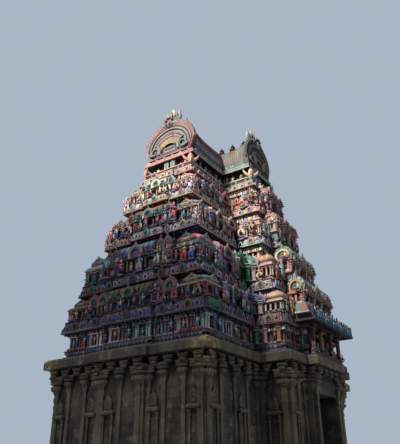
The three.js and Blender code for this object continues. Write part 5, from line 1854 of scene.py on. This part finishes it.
def stone_niche(place, width, height):
    """Two slim columns under a small roof with a kudu."""
    for side in (-1, 1):
        stone_heap.add(COLUMN, place, stone_paints, side * width * 0.42, -0.06, 0.1,
                       size=(0.2, 0.2, height * 0.62))
    stone_heap.add(block(width * 1.1, 0.3, 0.12, "trim"), place, stone_paints, 0, -0.24)
    roof = stack(width * 1.1, 0.24, 0.26, "trim 0 0  0.06 0.3  0.07 0.5  -0.06 1")
    stone_heap.add(roof, place, stone_paints, 0, -0.22, height * 0.66)
    stone_heap.add(RING_KUDU, place, stone_paints, 0, -0.12, height * 0.74,
                   size=(width * 0.8, 0.5, height * 0.26))


stone_tall = STONE_LOW - WALL_FOOT - 0.34
for run in runs(STONE_PLAN, STONE_OFFSET):
    if run.bay == "door":
        for side in (-1, 1):
            beside = along(run, run.length / 2 + side * 1.86, 0.0, WALL_FOOT)
            stone_pilaster(beside, stone_tall, STONE_PILASTER)
        continue
    middles, step = evenly(run.length, 1.55)
    ends = {0.28, run.length - 0.28} if run.length > 1.1 else {run.length / 2}
    for where in sorted(ends | {i * step for i in range(1, len(middles))}):
        width = CORNER_PILASTER if where in ends else STONE_PILASTER
        stone_pilaster(along(run, where, 0.0, WALL_FOOT), stone_tall, width)
    for i, where in enumerate(middles):
        if step > 1.1 and i % 2 == 0:
            niche_place = along(run, where, 0.0, WALL_FOOT + 0.5)
            stone_niche(niche_place, min(step * 0.5, 0.8), stone_tall * 0.62)
for inset, form, pitch, drop, size, out in (
        (-0.16, TOOTH, 0.34, STONE_TOP - 0.14, (0.2, 0.14, 0.13), 0.06),
        (-0.3, CAPITAL, 1.0, STONE_LOW - 0.5, (0.5, 0.36, 0.5), 0.0)):
    row_on_runs(stone_heap, runs(STONE_PLAN, inset), form, pitch, drop, size, [stone_paints], out)
plinth_runs = [run for run in runs(STONE_PLAN, STONE_OFFSET + 0.36) if run.bay != "door"]
row_on_runs(stone_heap, plinth_runs, PETAL, 0.4, WALL_FOOT - 0.46, (0.34, 0.12, 0.24),
            [stone_paints])
print("granite forms:", len(stone_heap.parts))

# %% [markdown]
# ## Writing materials as sums
#
# A procedural finish is a formula, and formulas read better as text than as a web of nodes.
# A Wire is an output socket that knows how to add, subtract and multiply, and a Finish is
# the material it belongs to. Plain numbers go through Math nodes; colours and directions go
# through Vector Math and Mix, since a Math node would turn a colour grey.

# %% Wrap the sockets
class Wire:
    """An output socket that can stand in a sum."""

    def __init__(self, finish, socket):
        self.finish = finish
        self.socket = socket

    def sum(self, operation, first, second):
        make = self.finish.node
        sockets = [w.socket.type for w in (first, second) if isinstance(w, Wire)]
        if all(kind == "VALUE" for kind in sockets):
            return make("ShaderNodeMath", {"operation": operation}, {0: first, 1: second})
        spread = [w if isinstance(w, (Wire, tuple)) else (w, w, w) for w in (first, second)]
        return make("ShaderNodeVectorMath", {"operation": operation}, dict(enumerate(spread)))

    def __add__(self, other):
        return self.sum("ADD", self, other)

    def __sub__(self, other):
        return self.sum("SUBTRACT", self, other)

    def __mul__(self, other):
        return self.sum("MULTIPLY", self, other)

    def __rsub__(self, other):
        return self.sum("SUBTRACT", other, self)

    __radd__ = __add__
    __rmul__ = __mul__


class Finish:
    """A material and its nodes."""

    def __init__(self, name):
        self.material = bpy.data.materials.new(name)
        self.material.use_nodes = True
        self.tree = self.material.node_tree
        self.tree.nodes.clear()

    def node(self, kind, settings=None, values=None, out=0):
        """Any node: its settings first, then the values or wires of its sockets."""
        made = self.tree.nodes.new(kind)
        for name, value in (settings or {}).items():
            setattr(made, name, value)
        for key, value in (values or {}).items():
            if isinstance(value, Wire):
                self.tree.links.new(value.socket, made.inputs[key])
            else:
                made.inputs[key].default_value = value
        return Wire(self, made.outputs[out])

    def mix(self, share, first, second):
        """One colour over another."""
        first, second = (c if isinstance(c, Wire) else (*c, 1.0) for c in (first, second))
        return self.node("ShaderNodeMix", {"data_type": "RGBA"}, {0: share, 6: first, 7: second}, 2)

    def noise(self, at, scale, detail=3.0, roughness=0.55):
        return self.node("ShaderNodeTexNoise", {}, {
            "Vector": at, "Scale": scale, "Detail": detail, "Roughness": roughness})

    def band(self, value, low, high):
        """0 below low and 1 above high, smooth between."""
        return self.node("ShaderNodeMapRange", {"interpolation_type": "SMOOTHSTEP"}, {
            "Value": value, "From Min": low, "From Max": high})

    def place(self):
        """Where a point of the surface is, in metres."""
        return self.node("ShaderNodeTexCoord", out="Object")

    def axis(self, wire, number):
        """One axis of a place or a direction."""
        return self.node("ShaderNodeSeparateXYZ", {}, {0: wire}, number)

    def absolute(self, wire):
        return self.node("ShaderNodeMath", {"operation": "ABSOLUTE"}, {0: wire})

    def facing(self):
        """The direction that the surface faces, as three wires."""
        normal = self.node("ShaderNodeNewGeometry", out="Normal")
        return [self.axis(normal, number) for number in range(3)]

    def openness(self, reach):
        """1 out in the open, and towards 0 in a corner narrower than reach."""
        return self.node("ShaderNodeAmbientOcclusion", {"samples": 6}, {"Distance": reach}, "AO")

    def bump(self, height, distance, strength=1.0):
        return self.node("ShaderNodeBump", {}, {
            "Height": height, "Distance": distance, "Strength": strength})

    def shade(self, colour, roughness, bump, metallic=0.0):
        """The shader and the material's output."""
        shader = self.node("ShaderNodeBsdfPrincipled", {}, {
            "Base Color": colour, "Roughness": roughness, "Normal": bump, "Metallic": metallic})
        output = self.tree.nodes.new("ShaderNodeOutputMaterial")
        self.tree.links.new(shader.socket, output.inputs["Surface"])
        return self.material

# %% [markdown]
# ## The finishes
#
# Painted stucco ages in a few clear ways: rain draws dark streaks of algae down from every
# ledge, dust settles on what faces up, and the paint was brushed on unevenly to begin with.
# Each of these is one noise at its own scale, and the streaks are the same noise stretched
# in Z. The sun side, to -X, is made paler, partly as bleaching and partly as painted light,
# and the ambient occlusion node paints shade into the corners. Granite gets block joints,
# grain, lichen and the soot of lamps, painted light on its cornice and carving near the
# corners, and painted shade under its cornice and in its corners.

# %% Mix the painted stucco
def stucco(name, paint=None, wear=1.0):
    """Painted stucco. Without a paint of its own it reads the mesh's."""
    finish = Finish(name)
    place = finish.place()
    east, _, up = finish.facing()
    if paint:
        sun = finish.band(finish.axis(place, 2), SUN_FROM, SUN_FROM + SUN_RISE)
        colour = finish.mix(finish.noise(place, 2.2, 4.0), linear(paint[0]), linear(paint[1]))
        # Painted shade: lower down, below the sun band, the colour is darker.
        colour = colour * (0.4 + 0.6 * sun)
    else:
        sun = finish.node("ShaderNodeAttribute", {"attribute_name": "paint"}, out="Alpha")
        colour = finish.node("ShaderNodeAttribute", {"attribute_name": "paint"}, out="Color")
    patch = finish.noise(place, 0.9, 5.0, 0.6)
    brush = finish.noise(place, 9.0, 4.0, 0.65)
    grit = finish.noise(place, 60.0, 3.0, 0.6)
    streak = finish.noise(place * (5.5, 5.5, 0.5), 1.0, 5.0, 0.6)
    repaint = finish.node("ShaderNodeTexNoise", {}, {
        "Vector": place, "Scale": 1.9, "Detail": 4.0}, "Color")
    colour = colour * (repaint * 0.8 + 0.6) * (0.74 + 0.34 * patch + 0.2 * brush)
    # Faces to -X turn paler, partly as fading and partly as painted light.
    sunny = finish.node("ShaderNodeClamp", {}, {"Value": east * -1.0})
    fading_and_sun_side_light = (finish.band(patch, 0.45, 0.75) * 0.16 + sunny * 0.1) * sun
    colour = finish.mix(fading_and_sun_side_light, colour, (0.54, 0.47, 0.42))
    algae = finish.band(streak, 0.52, 0.72) * wear
    colour = finish.mix(algae * 0.62, colour, (0.03, 0.028, 0.028))
    dusty = finish.band(up, 0.35, 0.95) * (0.25 + 0.75 * patch)
    colour = finish.mix(dusty * 0.5, colour, (0.09, 0.08, 0.068))
    # Painted shade: ambient occlusion darkens corners and recesses.
    colour = colour * (0.3 + 0.7 * finish.openness(0.6))
    roughness = 0.52 + 0.3 * brush + 0.12 * algae
    bump = finish.bump(brush * 0.7 + grit * 0.3, 0.02, 0.6)
    return finish.shade(colour, roughness, bump)


painted = stucco("painted_stucco")
# Painted shade: roof_eave is maroon and soot, for the shade under the eave.
WALL_COLOURS = {
    "storey_1_walls": ("mauve", "plum"), "storey_2_walls": ("maroon", "navy"),
    "storey_3_walls": ("purple", "maroon"), "storey_4_walls": ("rose", "maroon"),
    "storey_5_walls": ("salmon", "rose"), "neck_walls": ("maroon", "soot"),
    "cornice_1": ("slate", "navy"), "cornice_2": ("teal", "navy"), "cornice_3": ("sea", "slate"),
    "cornice_4": ("mint", "slate"), "cornice_5": ("pink", "mauve"), "roof_eave": ("maroon", "soot"),
}
node_finishes = {node: stucco(f"{node}_paint", paint, 1.2) for node, paint in WALL_COLOURS.items()}

# %% Mix the granite and the copper
BRICKS = {"Scale": 1.0, "Brick Width": 1.7, "Row Height": 0.62, "Mortar Size": 0.014}
# Distances from the middle where painted light falls on the granite near the corners.
LIT_CORNER_BAND = 16.5, 20.0
LIT_YELLOW_BAND = 16.1, 17.6


def granite(name, joints=True):
    """Old granite with lichen and soot, painted light on the carving near the corners, and
    painted shade in its recesses; with joints also its blocks and their stains, a tan cornice
    that is partly painted light, and painted shade under it.
    """
    finish = Finish(name)
    place = finish.place()
    east, _, up = finish.facing()
    x, y, z = (finish.axis(place, number) for number in range(3))
    cloud = finish.noise(place, 0.7, 5.0, 0.6)
    grain = finish.noise(place, 26.0, 4.0, 0.7)
    streak = finish.noise(place * (2.4, 2.4, 0.22), 1.0, 5.0, 0.6)
    colour = finish.mix(finish.band(cloud, 0.35, 0.65), (0.03, 0.026, 0.02), (0.12, 0.1, 0.064))
    colour = colour * (0.72 + 0.55 * grain)
    lichen = finish.band(finish.noise(place, 1.3, 7.0, 0.72), 0.55, 0.68)
    colour = finish.mix(lichen * 0.75, colour, (0.3, 0.25, 0.13))
    height = grain * 0.35 + cloud * 0.2
    warm = finish.mix(finish.noise(place, 0.8, 6.0, 0.7), (0.1, 0.088, 0.06), (0.34, 0.28, 0.15))
    cornice = finish.band(z, STONE_LOW - 0.1, STONE_LOW + 0.1)
    from_middle = sum(finish.absolute(axis) for axis in (x, y))
    corner = finish.band(from_middle, *LIT_CORNER_BAND)
    patch = finish.band(finish.noise(place, 2.6, 5.0, 0.6), 0.48, 0.54)
    yellow = finish.band(from_middle, *LIT_YELLOW_BAND) * (0.12 + 0.88 * patch)
    yellow = yellow * finish.band(z, STONE_LOW - 2.6, STONE_LOW - 0.2)
    if joints:
        # Painted light: the cornice turns tan, a little everywhere and most near the corners.
        colour = finish.mix(cornice * (0.14 + 0.7 * corner), colour, warm)
        rust = finish.band(finish.noise(place, 2.2, 4.0), 0.58, 0.68)
        colour = finish.mix(rust * cornice * 0.6, colour, (0.13, 0.06, 0.03))
        # Painted shade: the wall under the cornice is darker.
        under = finish.band(z, STONE_LOW - 2.4, STONE_LOW - 0.5) * (1 - cornice)
        colour = colour * (1 - 0.6 * under)
        sideways = finish.band(finish.absolute(east), 0.4, 0.6)
        across = x * (1 - sideways) + y * sideways
        wall = finish.node("ShaderNodeCombineXYZ", {}, {0: across, 1: z})
        blocks = finish.node("ShaderNodeTexBrick", {"offset": 0.5}, {
            "Vector": wall, **BRICKS, "Mortar Smooth": 0.4, "Color1": (0.8, 0.8, 0.8, 1),
            "Color2": (1.1, 1.06, 1.0, 1), "Mortar": (0.3, 0.28, 0.25, 1)})
        colour = colour * blocks
        joint = finish.node("ShaderNodeTexBrick", {"offset": 0.5}, {
            "Vector": wall, **BRICKS, "Mortar Smooth": 0.6}, "Fac")
        height = height - joint * 0.8
    else:
        colour = finish.mix(0.3, colour, warm)
    soot = finish.band(streak, 0.5, 0.7)
    colour = finish.mix(soot * 0.8, colour, (0.02, 0.018, 0.015))
    dusty = finish.band(up, 0.4, 0.9)
    colour = finish.mix(dusty * 0.6, colour, (0.16, 0.135, 0.085))
    # Painted light: yellow lit patches on the carving near the corners, under the cornice.
    colour = finish.mix(yellow * 0.8, colour, (0.5, 0.38, 0.16))
    # Painted shade from ambient occlusion in corners and recesses.
    colour = colour * (0.35 + 0.65 * finish.openness(0.8))
    return finish.shade(colour, 0.62 + 0.3 * grain, finish.bump(height, 0.03, 0.8))


def copper():
    """Dark copper with a green patch here and there."""
    finish = Finish("aged_copper")
    place = finish.place()
    cloud = finish.noise(place, 4.0, 4.0)
    colour = finish.mix(finish.band(cloud, 0.4, 0.7), (0.05, 0.032, 0.022), (0.035, 0.045, 0.04))
    return finish.shade(colour, 0.38 + 0.3 * cloud, finish.bump(cloud, 0.01, 0.5), 0.65)


block_granite = granite("granite_blocks")
carved_granite = granite("granite_carved", False)
dark_copper = copper()
print("materials:", len(bpy.data.materials))

# %% [markdown]
# ## Putting it together
#
# Now every heap becomes a mesh. Where a heap stands for a CAD piece it replaces that piece,
# and where it only dresses one, the piece stays and gets its finish.

# %% Build the meshes and finish the CAD pieces
def piece(heap, slot, material, *replaced):
    made = heap.build(material)
    if replaced:
        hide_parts(*replaced)
    return made


for heap in cornice_heaps:
    piece(heap, "painted_cornice", painted)
for heap in (storey_heap, *wall_heaps):
    piece(heap, "painted_wall", painted)
for level, heaps in enumerate(row_heaps, 1):
    piece(heaps[-1], "painted_pavilion", painted, f"pavilions_{level}_left")
    piece(heaps[1], "painted_pavilion", painted, f"pavilions_{level}_right")
for heap, node in portal_heaps:
    piece(heap, "painted_portal", painted, node)
for side, (columns, roof) in porch_heaps.items():
    piece(columns, "painted_portal", painted, f"porch_columns_{side}")
    piece(roof, "painted_portal", painted, f"porch_canopy_{side}")
piece(parapet_heap, "painted_wall", painted, "top_parapet")
piece(neck_heap, "painted_wall", painted)
for side, heap in gable_heaps.items():
    piece(heap, "painted_gable", painted, f"gable_{side}")
piece(vault_heap, "painted_vault", painted, "roof_vault")
piece(ridge_heap, "painted_vault", painted, "ridge_finials")
piece(pots_heap, "finial_copper", dark_copper, "ridge_finials")
piece(stone_heap, "granite", carved_granite)

STONE_NODES = ("plinth", "stone_wall", "passage_wall", "gate_lintel", "stone_cornice")
for name, node in nodes.items():
    finish = node_finishes.get(name)
    if name.startswith(STONE_NODES):
        finish = block_granite
    if finish:
        for number in range(len(node.material_slots)):
            node.material_slots[number].material = finish

# %% [markdown]
# ## Floor, light and camera
#
# The floor is plain and pale. The main lamp stands high at the left, where the sun was, and
# shines through a cone. The cone's soft lower edge falls across the tower, so the roof and
# the upper storeys are in the sun and the lower ones in shade. A weaker lamp from the same
# place, a cooler one from the front and one from behind keep the colours alive in that shade.
# The camera stands low near the corner and looks up, as a visitor does.

# %% Lay the floor and set the lights
FLOOR = 260.0
floor_mesh = bpy.data.meshes.new("floor")
floor_mesh.from_pydata([(-FLOOR, -FLOOR, -0.02), (FLOOR, -FLOOR, -0.02), (FLOOR, FLOOR, -0.02),
                        (-FLOOR, FLOOR, -0.02)], [], [(0, 1, 2, 3)])
floor = bpy.data.objects.new("floor", floor_mesh)
bpy.context.scene.collection.objects.link(floor)
floor_finish = Finish("pale_floor")
floor_noise = floor_finish.noise(floor_finish.place(), 0.3)
floor_mesh.materials.append(floor_finish.shade(
    floor_finish.mix(floor_noise, (0.56, 0.55, 0.53), (0.6, 0.59, 0.57)), 0.85,
    floor_finish.bump(floor_noise, 0.01, 0.1)))


def lamp_at(lamp, at, aim, power, colour):
    """Stands a lamp at one point and turns it to another."""
    lamp.energy, lamp.color = power, colour
    made = bpy.data.objects.new(lamp.name, lamp)
    made.location = at
    made.rotation_euler = (Vector(aim) - Vector(at)).to_track_quat("-Z", "Y").to_euler()
    bpy.context.scene.collection.objects.link(made)


SUN_AT = (-52, 4, 58)
SUN_AIM = (-2, -6.5, 40.3)
TOWER_MIDDLE = (0, 0, 14)
key = bpy.data.lights.new("key", "SPOT")
key.spot_size, key.spot_blend, key.shadow_soft_size = math.radians(52), 0.1, 3.2
lamp_at(key, SUN_AT, SUN_AIM, 252000, (1.0, 0.96, 0.91))
for name, at, size, power, colour in (
        ("key_low", SUN_AT, 9, 10000, (0.95, 0.96, 1.0)),
        ("fill", (-10, -80, 34), 40, 7000, (0.8, 0.89, 1.0)),
        ("back", (60, 60, 60), 40, 40000, (1.0, 0.97, 0.94))):
    lamp = bpy.data.lights.new(name, "AREA")
    lamp.shape, lamp.size = "DISK", size
    lamp_at(lamp, at, TOWER_MIDDLE, power, colour)
world = bpy.data.worlds.new("studio")
bpy.context.scene.world = world
world.use_nodes = True
tree = world.node_tree
around = tree.nodes["Background"]
around.inputs["Color"].default_value = (0.6, 0.7, 0.86, 1)
around.inputs["Strength"].default_value = 0.34
backdrop = tree.nodes.new("ShaderNodeBackground")
backdrop.inputs["Color"].default_value = (0.4, 0.47, 0.56, 1)
ray = tree.nodes.new("ShaderNodeLightPath")
chosen = tree.nodes.new("ShaderNodeMixShader")
tree.links.new(ray.outputs["Is Camera Ray"], chosen.inputs[0])
tree.links.new(around.outputs[0], chosen.inputs[1])
tree.links.new(backdrop.outputs[0], chosen.inputs[2])
tree.links.new(chosen.outputs[0], tree.nodes["World Output"].inputs[0])
bpy.context.scene.view_settings.view_transform = "Standard"

# %% Set the camera
CAMERA_AT = Vector((-36.0, -22.53, 1.6))
YAW, PITCH, ROLL = (math.radians(angle) for angle in (33.53, 25.20, -0.55))
level_forward = Vector((math.cos(YAW), math.sin(YAW), 0))
forward = level_forward * math.cos(PITCH) + Vector((0, 0, math.sin(PITCH)))
level_right = Vector((math.sin(YAW), -math.cos(YAW), 0))
level_up = level_right.cross(forward)
right = level_right * math.cos(ROLL) + level_up * math.sin(ROLL)
above = level_up * math.cos(ROLL) - level_right * math.sin(ROLL)
lens = bpy.data.cameras.new("street_camera")
lens.lens, lens.sensor_width, lens.clip_end = 43.8, 36.0, 1000.0
camera = bpy.data.objects.new("street_camera", lens)
camera.matrix_world = Matrix((
    (right.x, above.x, -forward.x, CAMERA_AT.x), (right.y, above.y, -forward.y, CAMERA_AT.y),
    (right.z, above.z, -forward.z, CAMERA_AT.z), (0, 0, 0, 1)))
bpy.context.scene.collection.objects.link(camera)
bpy.context.scene.camera = camera
print("camera", round(CAMERA_AT.length, 1), "m from the middle of the plan")
